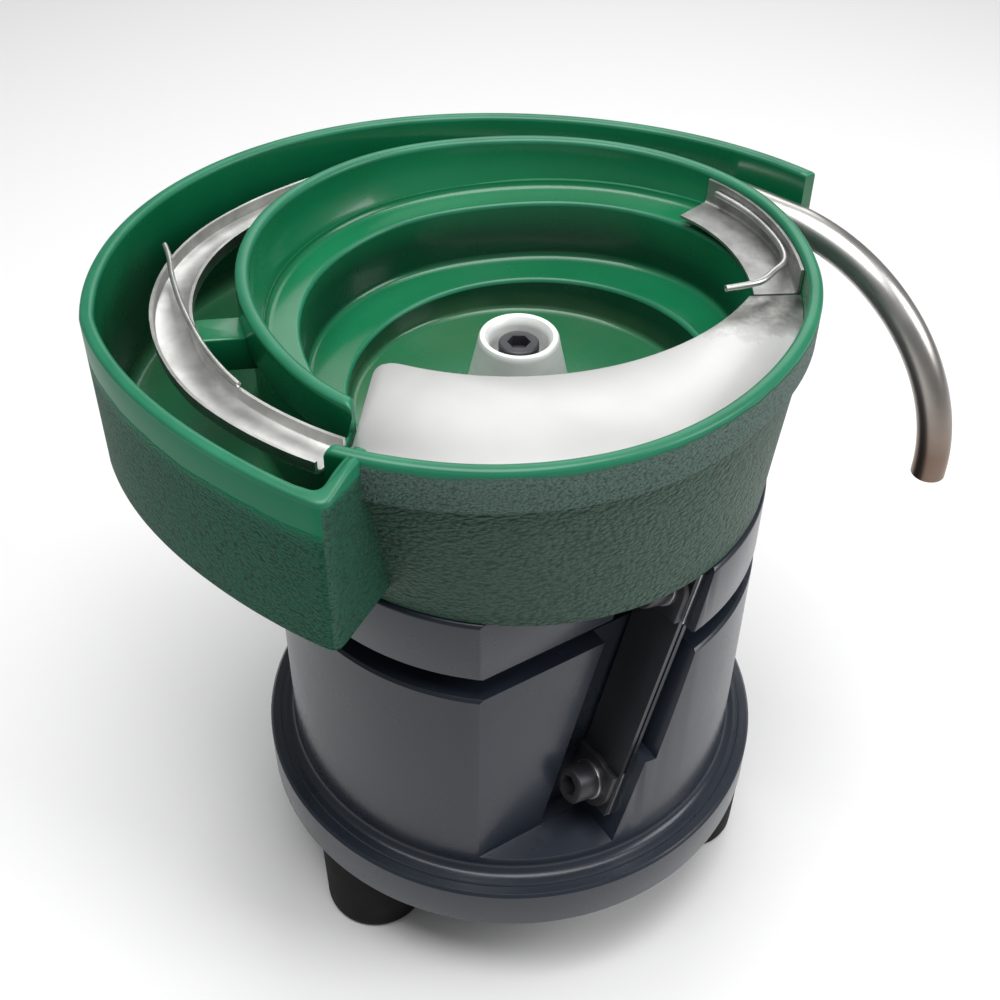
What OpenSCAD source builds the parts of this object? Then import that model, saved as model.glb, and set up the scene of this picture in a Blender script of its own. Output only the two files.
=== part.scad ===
// Vibratory bowl feeder.
// A round drive unit stands on three rubber feet. Three inclined leaf-spring
// packs carry its upper casting, and an electromagnet pulls that casting down.
// The upper casting carries a coated cast bowl with a spiral track, a return
// pan round its left and back, and sheet-metal tooling.
// Millimetres, Z up. The origin is on the drive's axis, on the floor.
// Azimuths run anticlockwise from +X. Parts travel clockwise up the track.

/* [Feet] */
// Diameter of a rubber foot where it meets the flange
foot_d = 39.8; // [30:0.2:40]
// Taper of a rubber foot: how much smaller its lower end is
foot_taper = 1.2; // [0:0.2:6]
// Height of a rubber foot
foot_h = 37; // [28:1:50]
// Radius of the circle that the feet stand on
foot_circle_r = 75; // [62:0.5:75]
// Azimuth of the front foot
foot_azimuth = -133; // [-140:1:-124]
// Diameter of the threaded holes in the feet
foot_hole_d = 6.8; // [5:0.1:8.5]
// Depth of the threaded holes in the feet
foot_hole_depth = 12; // [8:0.5:13]

/* [Base casting] */
// Radius of the flange at the bottom of the drive
flange_r = 95; // [90:0.5:105]
// Height of the flange
flange_h = 19.2; // [15:0.2:24]
// Radius of the lower and upper housings
housing_r = 85; // [82:0.5:88]
// Height of the lower housing above the flange
lower_h = 90.4; // [88:0.2:96]
// Radius of the concave fillet at the foot of the lower housing
root_fillet = 4; // [1:0.5:5]
// Height of the gap between the lower and the upper housing
housing_gap = 9.4; // [7:0.2:12]
// Height of the upper casting
upper_h = 24.6; // [24:0.2:30]
// Radius of the magnet well in the base casting
well_r = 40; // [38:0.5:42]
// Depth of the magnet well below the top of the lower housing
well_depth = 62; // [61:0.5:66]
// Edge break on the castings
edge = 1; // [0.4:0.1:1.6]

/* [Spring pockets] */
// Azimuth that the back of the front pocket faces
pocket_azimuth = -57; // [-62:1:-52]
// Distance of the flat back of a pocket from the axis
pocket_back = 65; // [62:0.5:68]
// Height of the pocket floor above the flange
pocket_floor = 7; // [3:0.5:10]
// Slope of the leaf springs from the vertical
spring_tilt = 15; // [12:0.5:20]
// Height above the floor at which a spring crosses its pocket's centre
spring_mid_z = 112; // [110:0.5:114]
// Width of the leaf springs, along the drive's radius
spring_w = 20; // [16:0.5:22]
// Distance of the springs' middle from the axis
spring_r = 70; // [68:0.5:71]
// Thickness of one spring leaf
leaf_t = 1.5; // [0.8:0.1:2]
// Thickness of the spacers between the two leaves of a pack
spacer_t = 1; // [0.5:0.1:1.5]
// Distance between a pack's lower and upper bolts
bolt_span = 88; // [86:0.5:90]
// Distance along a spring from its pocket's centre up to the middle between its bolts
bolt_rise = 14; // [12:0.5:15]
// Thickness of the clamp plates
clamp_t = 2.5; // [2:0.5:4]
// Length of the clamp plates above their round end
clamp_l = 9; // [6:0.5:12]
// Width of the relief beside the free length of a spring
spring_relief = 5; // [3:0.5:7]
// Thread diameter of the spring bolts
spring_bolt_d = 8; // [5:0.5:8]
// Depth of the spring bolts' threads in the castings
spring_bolt_depth = 12; // [10:0.5:14]

/* [Magnet] */
// Length of the laminated core and armature
core_l = 48; // [42:1:50]
// Depth of the lamination stack
core_w = 30; // [24:1:34]
// Width of an outer leg of the core
core_leg = 8; // [6:0.5:9]
// Height of the core
core_h = 40; // [36:0.5:44]
// Thickness of the yoke under the core's legs
core_yoke = 9; // [7:0.5:11]
// Air gap between core and armature
air_gap = 1.2; // [0.8:0.1:2]
// Height of the armature block
armature_h = 10; // [8:0.5:12]
// Thickness of the armature plate
armature_plate_t = 5; // [4:0.5:6]
// Thickness of the winding round the core's middle leg
winding_t = 6; // [4:0.5:6.5]
// Thickness of the bobbin's walls
bobbin_t = 1.2; // [0.8:0.1:1.5]
// Thickness of the magnet bracket
bracket_t = 6; // [4:0.5:8]

/* [Cable gland] */
// Azimuth of the cable gland
gland_azimuth = 110; // [100:1:120]
// Height of the cable gland's axis above the flange
gland_rise = 40; // [36:0.5:46]
// Thread diameter of the cable gland
gland_d = 12; // [10:0.5:16]
// Diameter of the cable hole in the gland
gland_bore_d = 6; // [4:0.5:7]

/* [Bowl] */
// Radius of the bowl's lower edge
bowl_foot_r = 84; // [83:0.5:86]
// Height of the bowl from its lower edge to its rim
bowl_h = 69.4; // [66:0.2:76]
// Height of the proud band under the rim
band_h = 15.3; // [10:0.1:16]
// How far the band stands proud of the wall below it
band_step = 2.5; // [1:0.1:3]
// Thickness of the bowl's walls
wall_t = 4.5; // [3.5:0.1:5]
// Height of the bowl's floor above its lower edge
floor_rise = 17; // [15:0.2:20]
// Thickness of the bowl's floor
floor_t = 5; // [4:0.2:7]
// Rise of the track in one turn
pitch = 22.5; // [20:0.5:24]
// Width of the track
track_w = 14; // [11:0.5:16]
// Depth of the tooling's seat below the rim
seat_depth = 11.5; // [9:0.5:14]

/* [Return pan] */
// Room between the bowl's wall at the left and the oval pan's mean radius
pan_room = 33; // [30:0.5:35]
// Ovality of the pan, added at its ends and taken off its sides
pan_oval = 10; // [8:0.2:12]
// Azimuth of the oval's long axis
pan_axis = 175; // [165:1:185]
// Flattening of the pan's wall towards its front corner
pan_flat = 5; // [0:0.5:6]
// How far the pan's rim lies below the bowl's rim
pan_drop = 3; // [0:0.5:4]
// Height of the pan's underside above the bowl's lower edge
pan_rise = 10.9; // [8:0.1:14]
// Thickness of the pan's floor
pan_floor_t = 6.5; // [4:0.5:8]

/* [Hub] */
// Radius of the hub cone at its top
hub_top_r = 13; // [11:0.5:15]
// Radius of the hub cone at the bowl's floor
hub_foot_r = 19; // [17:0.5:24]
// Height of the hub cone
hub_h = 29.4; // [24:0.2:34]
// Thread diameter of the bowl's centre bolt
bowl_bolt_d = 8; // [6:1:10]

/* [Tooling] */
// Thickness of the track shelf and the exit track
sheet_t = 1; // [0.8:0.1:1.2]
// Thickness of the front plate
plate_t = 1.5; // [1:0.1:2]
// Width of the exit track
exit_w = 13; // [11:0.5:13.5]
// Height of the exit track's sides
exit_h = 5; // [3:0.5:6]
// Fall of the exit track from its mouth to the outlet tube
exit_fall = 9; // [5:0.5:12]
// Outer diameter of the outlet tube
tube_d = 12; // [10:0.5:13]
// Wall thickness of the outlet tube
tube_t = 1; // [0.8:0.1:1.5]
// Bend radius of the outlet tube
tube_bend_r = 72; // [60:1:90]
// Length of the tube's straight start
tube_start = 29.5; // [24:0.5:32]
// Length of the tube's straight end
tube_end = 3; // [2:0.5:20]
// Diameter of the wiper wire
wiper_d = 2.2; // [1.2:0.1:2.6]
// Diameter of the guide wire
guide_d = 1.8; // [1.5:0.1:2.4]

/* [Hidden] */
// Running clearance between a bolt and its hole, on the diameter
fit = 0.1;
// Azimuth step between sections of the bowl's walls
step = 5;
$fn = 96;

// Levels above the floor
flange_z = foot_h;
housing_z = flange_z + flange_h;
lower_top_z = housing_z + lower_h;
upper_z = lower_top_z + housing_gap;
bowl_z = upper_z + upper_h;
rim_z = bowl_z + bowl_h;
band_z = rim_z - band_h;
seat_z = rim_z - seat_depth;
bowl_floor_z = bowl_z + floor_rise;
pan_z = bowl_z + pan_rise;
pan_floor_z = pan_z + pan_floor_t;
pan_rim_z = rim_z - pan_drop;
well_z = lower_top_z - well_depth;
pocket_z = housing_z + pocket_floor;

// Azimuths of the three pockets and of the three feet
pockets = [for (k = [0:2]) pocket_azimuth + 120 * k];
feet = [for (k = [0:2]) foot_azimuth + 120 * k];

// Azimuths where the bowl's wall starts, ends and meets the pan
wall_start = 234;
wall_end = -121;
pan_open = 35.5;
pan_corner = 245;

// Outer radius of the bowl's wall: [azimuth, radius] from its inner end,
// clockwise round the left, the back and the right to its end at the front
wall_plan = [
    [234, 82.5], [205, 83.8], [160, 92], [130, 93.3], [95, 91.7], [40, 97.5],
    [5, 94], [-35, 89.3], [-75, 92.3], [-105, 97], [-121, 101]];
// Mean radius of the oval pan
pan_r = wall_plan[2][1] + pan_room;
// Inner radius of the first turn of the track: [travel, radius]
first_turn = [[0, 46], [60, 51.5], [115, 56], [205, 59], [295, 63], [415, 63.5]];
// Azimuth where the track leaves the floor
track_start = -65;
// Travel where the track turns into the tooling's seat
track_end = 650;

function polar(r, a) = [r * cos(a), r * sin(a)];

// Smooth curve through a list of [position, value] pairs in rising order
function ease(u) = u * u * (3 - 2 * u);
function slope(l, i) =
    let (a = max(i - 1, 0), b = min(i + 1, len(l) - 1))
    (l[b][1] - l[a][1]) / (l[b][0] - l[a][0]);
function hermite(l, i, u) =
    let (d = l[i + 1][0] - l[i][0])
    l[i][1] * (1 + 2 * u) * (1 - u) * (1 - u) + l[i + 1][1] * u * u * (3 - 2 * u)
    + d * slope(l, i) * u * (1 - u) * (1 - u) - d * slope(l, i + 1) * u * u * (1 - u);
function smooth(l, x, i = 0) =
    x <= l[0][0] ? l[0][1]
    : i >= len(l) - 1 ? l[len(l) - 1][1]
    : x <= l[i + 1][0] ? hermite(l, i, (x - l[i][0]) / (l[i + 1][0] - l[i][0]))
    : smooth(l, x, i + 1);

// The wall's plan against travel from its inner end; beyond its far end it
// steps back in to where it started
wall_list = [for (p = wall_plan) [wall_start - p[0], p[1]]];
wall_run = wall_start - wall_end;
function wall_r(a) =
    let (t = ((wall_start - a) % 360 + 360) % 360)
    t <= wall_run ? smooth(wall_list, t)
    : let (u = (t - wall_run) / (360 - wall_run))
        smooth(wall_list, wall_run) * (1 - u) + wall_plan[0][1] * u;

// Outer radius of the wall below the band, and inner radius at any height
function body_r(a, z) =
    let (u = (min(z, band_z) - bowl_z) / (band_z - bowl_z))
    bowl_foot_r + u * (wall_r(a) - band_step - bowl_foot_r);
function chamber_r(a, z) = z > band_z ? wall_r(a) - wall_t : body_r(a, z) - wall_t;

// Outer radius of the oval pan, flattened towards its front corner
function pan_wall_r(a) =
    pan_r + pan_oval * cos(2 * (a - pan_axis))
    - (a > 190 ? pan_flat * sin(180 * (a - 190) / 55) : 0);

// The track against travel t, clockwise from where it leaves the floor
function track_a(t) = track_start - t;
function track_z(t) = bowl_floor_z - 0.3 + pitch * t / 360;
function track_in_r(t) =
    t < 415 ? smooth(first_turn, t) : wall_r(track_a(t)) - wall_t - track_w;

// Closed solid through equal flat rings of points, each anticlockwise about the way it runs
module loft(rings) {
    n = len(rings[0]);
    m = len(rings);
    points = [for (r = rings) each r];
    sides = [for (i = [0:m - 2], j = [0:n - 1])
        let (k = (j + 1) % n)
        each [[i * n + j, (i + 1) * n + k, i * n + k], [i * n + j, (i + 1) * n + j, (i + 1) * n + k]]];
    ends = [[for (j = [0:n - 1]) j], [for (j = [n - 1:-1:0]) (m - 1) * n + j]];
    polyhedron(points, concat(sides, ends));
}

// Full ring of wall stations at one height, anticlockwise
function ring(z, radii) = [for (i = [0:len(radii) - 1])
    let (p = polar(radii[i], wall_end + step * i)) [p[0], p[1], z]];
stations = [for (a = [wall_end:step:wall_end + 360 - step]) a];

// Tube of a round wire through hand-set points [x, y, z]
function unit(v) = v / norm(v);
module wire(path, d) {
    n = len(path);
    loft([for (i = [0:n - 1])
        let (t = unit(path[min(i + 1, n - 1)] - path[max(i - 1, 0)]))
        let (u = unit(cross(t, [0, 0, 1])))
        let (v = cross(t, u))
        [for (j = [0:7]) path[i] + d / 2 * (cos(45 * j) * u + sin(45 * j) * v)]]);
}
// Points of a smooth curve through four or more hand-set points
function knot(p, i) = p[min(max(i, 0), len(p) - 1)];
function curve(p, n = 6) = concat(
    [for (i = [0:len(p) - 2], j = [0:n - 1])
        let (u = j / n)
        0.5 * (2 * knot(p, i) + (knot(p, i + 1) - knot(p, i - 1)) * u
            + (2 * knot(p, i - 1) - 5 * knot(p, i) + 4 * knot(p, i + 1) - knot(p, i + 2)) * u * u
            + (3 * knot(p, i) - knot(p, i - 1) - 3 * knot(p, i + 1) + knot(p, i + 2)) * u * u * u)],
    [p[len(p) - 1]]);

// ---------------------------------------------------------------- drive unit

// Frame of a spring pack: X across the leaves to the bolts' heads, Y outwards, Z up the leaves
module pack_frame(a) {
    rotate([0, 0, a - 90])
    translate([0, 0, spring_mid_z])
    rotate([0, -spring_tilt, 0])
    translate([0, spring_r, bolt_rise])
    children();
}
pack_t = 2 * leaf_t + spacer_t;

// Everything on the open side of a pocket's tilted right wall
module pocket_space(a, z0, z1) {
    wide = 2 * housing_r;
    intersection() {
        rotate([0, 0, a])
        translate([pocket_back, -wide / 2, z0])
        cube([housing_r, wide, z1 - z0]);
        pack_frame(a)
        translate([-pack_t / 2, -housing_r / 2, -housing_r])
        cube([wide, housing_r, 2 * housing_r]);
    }
}

// Slot behind the pocket's back for the inner half of a spring and its clamps
slot_gap = 1.5;
module spring_slot(a, z0, z1) {
    side = clamp_t + spring_bolt_d + 3;
    intersection() {
        pack_frame(a)
        translate([-pack_t / 2, -spring_w / 2 - slot_gap, -housing_r])
        cube([pack_t + side, spring_w + housing_r, 2 * housing_r]);
        translate([0, 0, z0])
        cylinder(r = flange_r, h = z1 - z0);
    }
}

// Relief in the right wall beside the free length of a spring, above its seat
seat_h = 20;
module spring_room(a) {
    pack_frame(a)
    translate([-pack_t / 2 - spring_relief, -spring_w / 2 - 1, seat_h - bolt_span / 2])
    cube([spring_relief + 1, housing_r, housing_r]);
}

// Places a spring bolt's parts: X is the bolt's axis, pointing to its head
module at_bolt(a, end) {
    pack_frame(a)
    translate([0, 0, end * bolt_span / 2])
    rotate([0, 90, 0])
    children();
}

module bolt_hole(a, end) {
    at_bolt(a, end)
    translate([0, 0, -pack_t / 2 - spring_bolt_depth])
    cylinder(d = spring_bolt_d, h = spring_bolt_depth + pack_t);
}

// Step round the edge of the flange's top
rim_step = 1.2;
rim_w = 4;
module base_casting() {
    color("#3b4048")
    difference() {
        union() {
            rotate_extrude()
            polygon(concat(
                [[0, flange_z], [flange_r - edge, flange_z], [flange_r, flange_z + edge]],
                [[flange_r, housing_z - edge - rim_step], [flange_r - edge, housing_z - rim_step]],
                [[flange_r - rim_w, housing_z - rim_step], [flange_r - rim_w - 0.4, housing_z]],
                [for (i = [0:6]) let (w = 15 * i)
                    [housing_r + root_fillet * (1 - sin(w)), housing_z + root_fillet * (1 - cos(w))]],
                [[housing_r, lower_top_z - edge], [housing_r - edge, lower_top_z], [0, lower_top_z]]));
        }
        for (a = pockets) {
            pocket_space(a, pocket_z, lower_top_z + 1);
            spring_slot(a, pocket_z + 0.5, lower_top_z + 2);
            spring_room(a);
            bolt_hole(a, -1);
        }
        translate([0, 0, well_z])
        cylinder(r = well_r, h = well_depth + 1);
        magnet_screw_places()
        translate([0, 0, well_z - 12])
        cylinder(d = magnet_screw_d, h = 13);
        for (a = feet)
            rotate([0, 0, a])
            translate([foot_circle_r, 0, flange_z - 1])
            cylinder(d = stud_d + fit, h = stud_l / 2 + 2);
        translate([0, 0, flange_z - 1])
        cylinder(r = 46, h = 9);
        at_gland()
        translate([0, 0, -housing_r])
        cylinder(d = gland_d + fit, h = housing_r);
    }
}

// Turned groove round the armature plate in the underside
groove_out_r = 54;
groove_in_r = 38;
groove_slope = 4;
groove_depth = 8;
module upper_casting() {
    color("#3b4048")
    difference() {
        rotate_extrude()
        polygon([
            [0, bowl_z], [housing_r - edge, bowl_z], [housing_r, bowl_z - edge],
            [housing_r, upper_z + edge], [housing_r - edge, upper_z], [groove_out_r, upper_z],
            [groove_out_r - groove_slope, upper_z + groove_depth],
            [groove_in_r + groove_slope, upper_z + groove_depth], [groove_in_r, upper_z], [0, upper_z]]);
        for (a = pockets) {
            pocket_space(a, upper_z - 1, bowl_z + 1);
            spring_slot(a, upper_z - 2, bowl_z + 2);
            bolt_hole(a, 1);
        }
        armature_screw_places()
        translate([0, 0, upper_z - 1])
        cylinder(d = armature_screw_d, h = 13);
        translate([0, 0, bowl_z - bowl_bolt_depth - 2])
        cylinder(d = bowl_bolt_d, h = bowl_bolt_depth + 3);
    }
}

stud_d = 8;
stud_l = 20;
module foot(a) {
    color("#17181a")
    rotate([0, 0, a])
    translate([foot_circle_r, 0, 0])
    difference() {
        rotate_extrude()
        polygon([
            [0, 0], [(foot_d - foot_taper) / 2 - 1.5, 0], [(foot_d - foot_taper) / 2, 1.5],
            [foot_d / 2, foot_h], [0, foot_h]]);
        translate([0, 0, -1])
        cylinder(d = foot_hole_d, h = foot_hole_depth + 1);
        translate([0, 0, foot_h - stud_l / 2 - 1])
        cylinder(d = stud_d + fit, h = stud_l / 2 + 2);
    }
}
module foot_front() foot(feet[0]);
module foot_right() foot(feet[1]);
module foot_back() foot(feet[2]);

module foot_studs() {
    color("#8d9094")
    for (a = feet)
        rotate([0, 0, a])
        translate([foot_circle_r, 0, foot_h - stud_l / 2])
        cylinder(d = stud_d, h = stud_l);
}

// Two leaves with round ends, drilled for the bolts
leaf_end = 10;
module leaf_pair(a) {
    color("#1f2124")
    pack_frame(a)
    for (x = [-pack_t / 2, pack_t / 2 - leaf_t])
        translate([x, 0, 0])
        rotate([0, 90, 0])
        difference() {
            translate([-bolt_span / 2 - leaf_end, -spring_w / 2, 0])
            cube([bolt_span + 2 * leaf_end, spring_w, leaf_t]);
            for (e = [-1, 1])
                translate([e * bolt_span / 2, 0, -1])
                cylinder(d = spring_bolt_d + fit, h = leaf_t + 2);
        }
}
module leaf_spring_front() leaf_pair(pockets[0]);
module leaf_spring_back() leaf_pair(pockets[1]);
module leaf_spring_left() leaf_pair(pockets[2]);

module spacers(end) {
    color("#9a9da1")
    for (a = pockets)
        at_bolt(a, end)
        difference() {
            translate([-leaf_end, -spring_w / 2, -spacer_t / 2])
            cube([2 * leaf_end, spring_w, spacer_t]);
            translate([0, 0, -spacer_t])
            cylinder(d = spring_bolt_d + fit, h = 2 * spacer_t);
        }
}
module lower_spring_spacers() spacers(-1);
module upper_spring_spacers() spacers(1);

// Clamp plate: round at its outer end, straight towards the spring's middle
clamp_r = 10;
module clamps(end) {
    color("#26282c")
    for (a = pockets)
        at_bolt(a, end)
        translate([0, 0, pack_t / 2])
        difference() {
            union() {
                cylinder(r = clamp_r, h = clamp_t);
                translate([min(0, end * clamp_l), -clamp_r, 0])
                cube([clamp_l, 2 * clamp_r, clamp_t]);
            }
            translate([0, 0, -1])
            cylinder(d = spring_bolt_d + fit, h = clamp_t + 2);
        }
}
module lower_clamps() clamps(-1);
module upper_clamps() clamps(1);

lock_t = 1.5;
module lock_washers(end) {
    color("#8d9094")
    for (a = pockets)
        at_bolt(a, end)
        translate([0, 0, pack_t / 2 + clamp_t])
        difference() {
            cylinder(d = spring_bolt_d * 1.8, h = lock_t);
            translate([0, 0, -1])
            cylinder(d = spring_bolt_d + fit, h = lock_t + 2);
        }
}
module lower_lock_washers() lock_washers(-1);
module upper_lock_washers() lock_washers(1);

// Socket-head bolt along +Z: the head's underside at z = 0, the thread below
module socket_bolt(d, l) {
    difference() {
        union() {
            translate([0, 0, -l])
            cylinder(d = d, h = l);
            rotate_extrude()
            polygon([[0, 0], [d * 0.83, 0], [d * 0.83, d - 0.5], [d * 0.83 - 0.5, d], [0, d]]);
        }
        translate([0, 0, d / 2])
        cylinder(d = d * 0.96, h = d, $fn = 6);
    }
}

module spring_bolts(end, reach) {
    color("#55585c")
    for (a = pockets)
        at_bolt(a, end)
        translate([0, 0, pack_t / 2 + clamp_t + lock_t])
        socket_bolt(spring_bolt_d, reach + pack_t + clamp_t + lock_t);
}
module lower_spring_bolts() spring_bolts(-1, spring_bolt_depth - 1);
module upper_spring_bolts() spring_bolts(1, spring_bolt_depth - 1);

// ---------------------------------------------------------------- magnet

magnet_screw_d = 5;
armature_screw_d = 5;
armature_plate_z = upper_z - armature_plate_t;
armature_z = armature_plate_z - armature_h;
core_top_z = armature_z - air_gap;
core_z = core_top_z - core_h;
core_mid = 2 * core_leg;
window = (core_l - 2 * core_leg - core_mid) / 2;
bracket_l = 62;
bracket_foot_x = 27;

module magnet_screw_places() {
    for (x = [-1, 1])
        translate([x * bracket_foot_x, 0, 0])
        children();
}
module armature_screw_places() {
    for (x = [-1, 1], y = [-1, 1])
        translate([x * (core_l / 2 - 6), y * (core_w / 2 - 6), 0])
        children();
}

// Top hat with a raised table: the core stands on it, screws hold its feet
module magnet_bracket() {
    color("#6d7277")
    difference() {
        union() {
            translate([-bracket_l / 2, -core_w / 2, well_z])
            cube([bracket_l, core_w, bracket_t]);
            translate([-core_l / 2 + 4, -core_w / 2, well_z])
            cube([core_l - 8, core_w, core_z - well_z]);
        }
        magnet_screw_places()
        translate([0, 0, well_z - 1])
        cylinder(d = magnet_screw_d + 2 * fit, h = bracket_t + 2);
    }
}

module magnet_screws() {
    color("#55585c")
    magnet_screw_places()
    translate([0, 0, well_z + bracket_t])
    socket_bolt(magnet_screw_d - fit, bracket_t + 10);
}

module magnet_core() {
    color("#565a5e")
    translate([-core_l / 2, -core_w / 2, core_z])
    difference() {
        cube([core_l, core_w, core_h]);
        for (x = [core_leg, core_l - core_leg - window])
            translate([x, -1, core_yoke])
            cube([window, core_w + 2, core_h]);
    }
}

// Bobbin round the core's middle leg, with a flange at each end
module magnet_bobbin() {
    reach = bobbin_t + winding_t;
    bobbin_h = core_h - core_yoke - 3;
    color("#c9c3b0")
    translate([0, 0, core_z + core_yoke])
    difference() {
        union() {
            box_about(core_mid / 2 + bobbin_t, core_w / 2 + bobbin_t, 0, bobbin_h);
            for (z = [0, bobbin_h - bobbin_t])
                box_about(core_mid / 2 + reach, core_w / 2 + reach, z, bobbin_t);
        }
        box_about(core_mid / 2, core_w / 2, -1, bobbin_h + 2);
    }
}
module magnet_winding() {
    bobbin_h = core_h - core_yoke - 3;
    h = bobbin_h - 2 * bobbin_t;
    color("#b4632d")
    translate([0, 0, core_z + core_yoke + bobbin_t])
    difference() {
        box_about(core_mid / 2 + bobbin_t + winding_t - 0.5, core_w / 2 + bobbin_t + winding_t - 0.5, 0, h);
        box_about(core_mid / 2 + bobbin_t, core_w / 2 + bobbin_t, -1, h + 2);
    }
}
module box_about(x, y, z, h) {
    translate([-x, -y, z])
    cube([2 * x, 2 * y, h]);
}

module armature_plate() {
    color("#6d7277")
    difference() {
        translate([-core_l / 2 - 4, -core_w / 2, armature_plate_z])
        cube([core_l + 8, core_w, armature_plate_t]);
        armature_screw_places()
        translate([0, 0, armature_plate_z - 1])
        cylinder(d = armature_screw_d + 2 * fit, h = armature_plate_t + 2);
    }
}
module armature() {
    color("#565a5e")
    difference() {
        translate([-core_l / 2, -core_w / 2, armature_z])
        cube([core_l, core_w, armature_h]);
        armature_screw_places()
        translate([0, 0, armature_z - 1])
        cylinder(d = armature_screw_d + 2 * fit, h = armature_h + 2);
        armature_screw_places()
        translate([0, 0, armature_z - 1])
        cylinder(d = armature_screw_d * 2, h = armature_screw_d + 1.5);
    }
}
module armature_screws() {
    color("#55585c")
    armature_screw_places()
    translate([0, 0, armature_z + armature_screw_d + 0.5])
    rotate([180, 0, 0])
    socket_bolt(armature_screw_d - fit, armature_h + armature_plate_t + 4);
}

// ---------------------------------------------------------------- cable gland

module at_gland() {
    rotate([0, 0, gland_azimuth])
    translate([housing_r, 0, housing_z + gland_rise])
    rotate([0, 90, 0])
    children();
}
module cable_gland() {
    gland_reach = 12;
    color("#17181a")
    at_gland()
    difference() {
        union() {
            translate([0, 0, -gland_reach])
            cylinder(d = gland_d, h = gland_reach + 0.5);
            cylinder(d = gland_d * 1.55, h = 5, $fn = 6);
            rotate_extrude()
            polygon([
                [0, 4], [gland_d * 0.68, 4], [gland_d * 0.68, 13],
                [gland_d * 0.45, 18], [0, 18]]);
        }
        translate([0, 0, -gland_reach - 1])
        cylinder(d = gland_bore_d, h = gland_reach + 20);
    }
}

// ---------------------------------------------------------------- bowl

bowl_bolt_depth = 14;
boss_r = 25;
ledge_w = 6;
ledge_t = 5;

// Solid bowl body and the proud band above it, following the wall's plan
module body_solid() {
    below = [for (a = stations) wall_r(a) - band_step];
    above = [for (a = stations) wall_r(a)];
    loft([
        ring(bowl_z, [for (a = stations) bowl_foot_r]),
        ring(band_z, below),
        ring(band_z + 0.3, above),
        ring(rim_z, above)]);
}

// Room inside the bowl: even walls below the band and behind it
module chamber() {
    loft([
        ring(bowl_floor_z, [for (a = stations) chamber_r(a, bowl_floor_z)]),
        ring(band_z, [for (a = stations) chamber_r(a, band_z)]),
        ring(band_z + band_step / 2, [for (a = stations) wall_r(a) - wall_t]),
        ring(rim_z + 1, [for (a = stations) wall_r(a) - wall_t])]);
}

// Return pan, from its open end to its front corner: outer block and its channel
pan_root_r = 72;
pan_stations = [for (a = [pan_open:step / 2:pan_corner]) a];
module pan_solid() {
    translate([0, 0, pan_z])
    linear_extrude(pan_rim_z - pan_z)
    polygon(concat(
        [for (a = pan_stations) polar(pan_wall_r(a), a)],
        [polar(pan_root_r, pan_corner), polar(pan_root_r, 210)],
        [polar(pan_root_r, 170), polar(pan_root_r, 130), polar(pan_root_r, 90), polar(pan_root_r, pan_open)]));
}

// Channel of the pan, cut before the bowl's wall is added, open at its right end
module pan_channel() {
    translate([0, 0, pan_floor_z])
    linear_extrude(rim_z)
    polygon(concat(
        [for (a = [pan_open - step:step / 2:pan_corner - 3]) polar(pan_wall_r(a) - wall_t, a)],
        [polar(112.4, pan_corner - 2.3), polar(97, pan_corner - 2.7), polar(pan_root_r - 3, pan_corner - 3.5)],
        [for (a = [pan_corner - 3:-2 * step:pan_open - 2 * step]) polar(pan_root_r - 5, a)]));
}

// Gap between the wall's inner end and the rim, where parts leave the bowl
module exit_gap() {
    from = wall_start + 0.3;
    to = wall_end + 360 - 0.3;
    translate([0, 0, seat_z])
    linear_extrude(rim_z)
    polygon([polar(66, from), polar(108, from), polar(108, to), polar(66, to)]);
}

// Ramp under one stretch of track: its top climbs with travel
function ramp_section(t, outer_top, outer_foot) =
    let (a = track_a(t), z0 = bowl_floor_z - 1.5, z1 = track_z(t))
    let (i = polar(track_in_r(t), a), o = polar(outer_top, a), f = polar(outer_foot, a))
    [[i[0], i[1], z0], [f[0], f[1], z0], [o[0], o[1], z1], [i[0], i[1], z1]];
function wall_grip(t, z) = chamber_r(track_a(t), z) + 1.5;
module first_ramp() {
    loft([for (t = [0:step:360])
        t < 290
        ? ramp_section(t, track_in_r(t + 360) + 1, track_in_r(t + 360) + 1)
        : ramp_section(t, wall_grip(t, track_z(t)), wall_grip(t, bowl_floor_z))]);
}
module second_ramp() {
    loft([for (t = [360:step:track_end])
        ramp_section(t, wall_grip(t, track_z(t) + 1), wall_grip(t, bowl_floor_z))]);
}

// Narrow ledge on the wall, which the front plate lies on
module plate_ledge() {
    az = [for (a = [wall_end + 2:step:8]) a];
    translate([0, 0, seat_z - ledge_t])
    linear_extrude(ledge_t)
    polygon(concat(
        [for (a = az) polar(wall_r(a) - wall_t + 1, a)],
        [for (i = [len(az) - 1:-1:0]) polar(wall_r(az[i]) - wall_t - ledge_w, az[i])]));
}

// Cast lug under the exit track at the left
lug_azimuth = 189;
module track_lug() {
    top = exit_z(lug_azimuth - 4) - weld_gap;
    rotate([0, 0, lug_azimuth])
    translate([wall_r(lug_azimuth) - 5, -6, top - 12])
    cube([exit_r(lug_azimuth) + 7 - wall_r(lug_azimuth), 12, 12]);
}

module bowl() {
    color("#0f7a4a")
    difference() {
        union() {
            difference() {
                union() {
                    body_solid();
                    difference() {
                        pan_solid();
                        pan_channel();
                    }
                }
                chamber();
                exit_gap();
                underside();
            }
            first_ramp();
            second_ramp();
            plate_ledge();
            track_lug();
        }
        translate([0, 0, bowl_z - 1])
        cylinder(d = bowl_bolt_d + 2 * fit, h = bowl_h);
    }
}

// Hollow below the floor: a dish round the boss and a deeper ring outside it
module underside() {
    ring_r = bowl_foot_r - wall_t;
    rotate_extrude()
    polygon([
        [boss_r, bowl_z - 1], [boss_r, bowl_floor_z - floor_t], [ring_r - 4, bowl_floor_z - floor_t],
        [ring_r, bowl_z + 2], [ring_r, bowl_z - 1]]);
}

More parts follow.
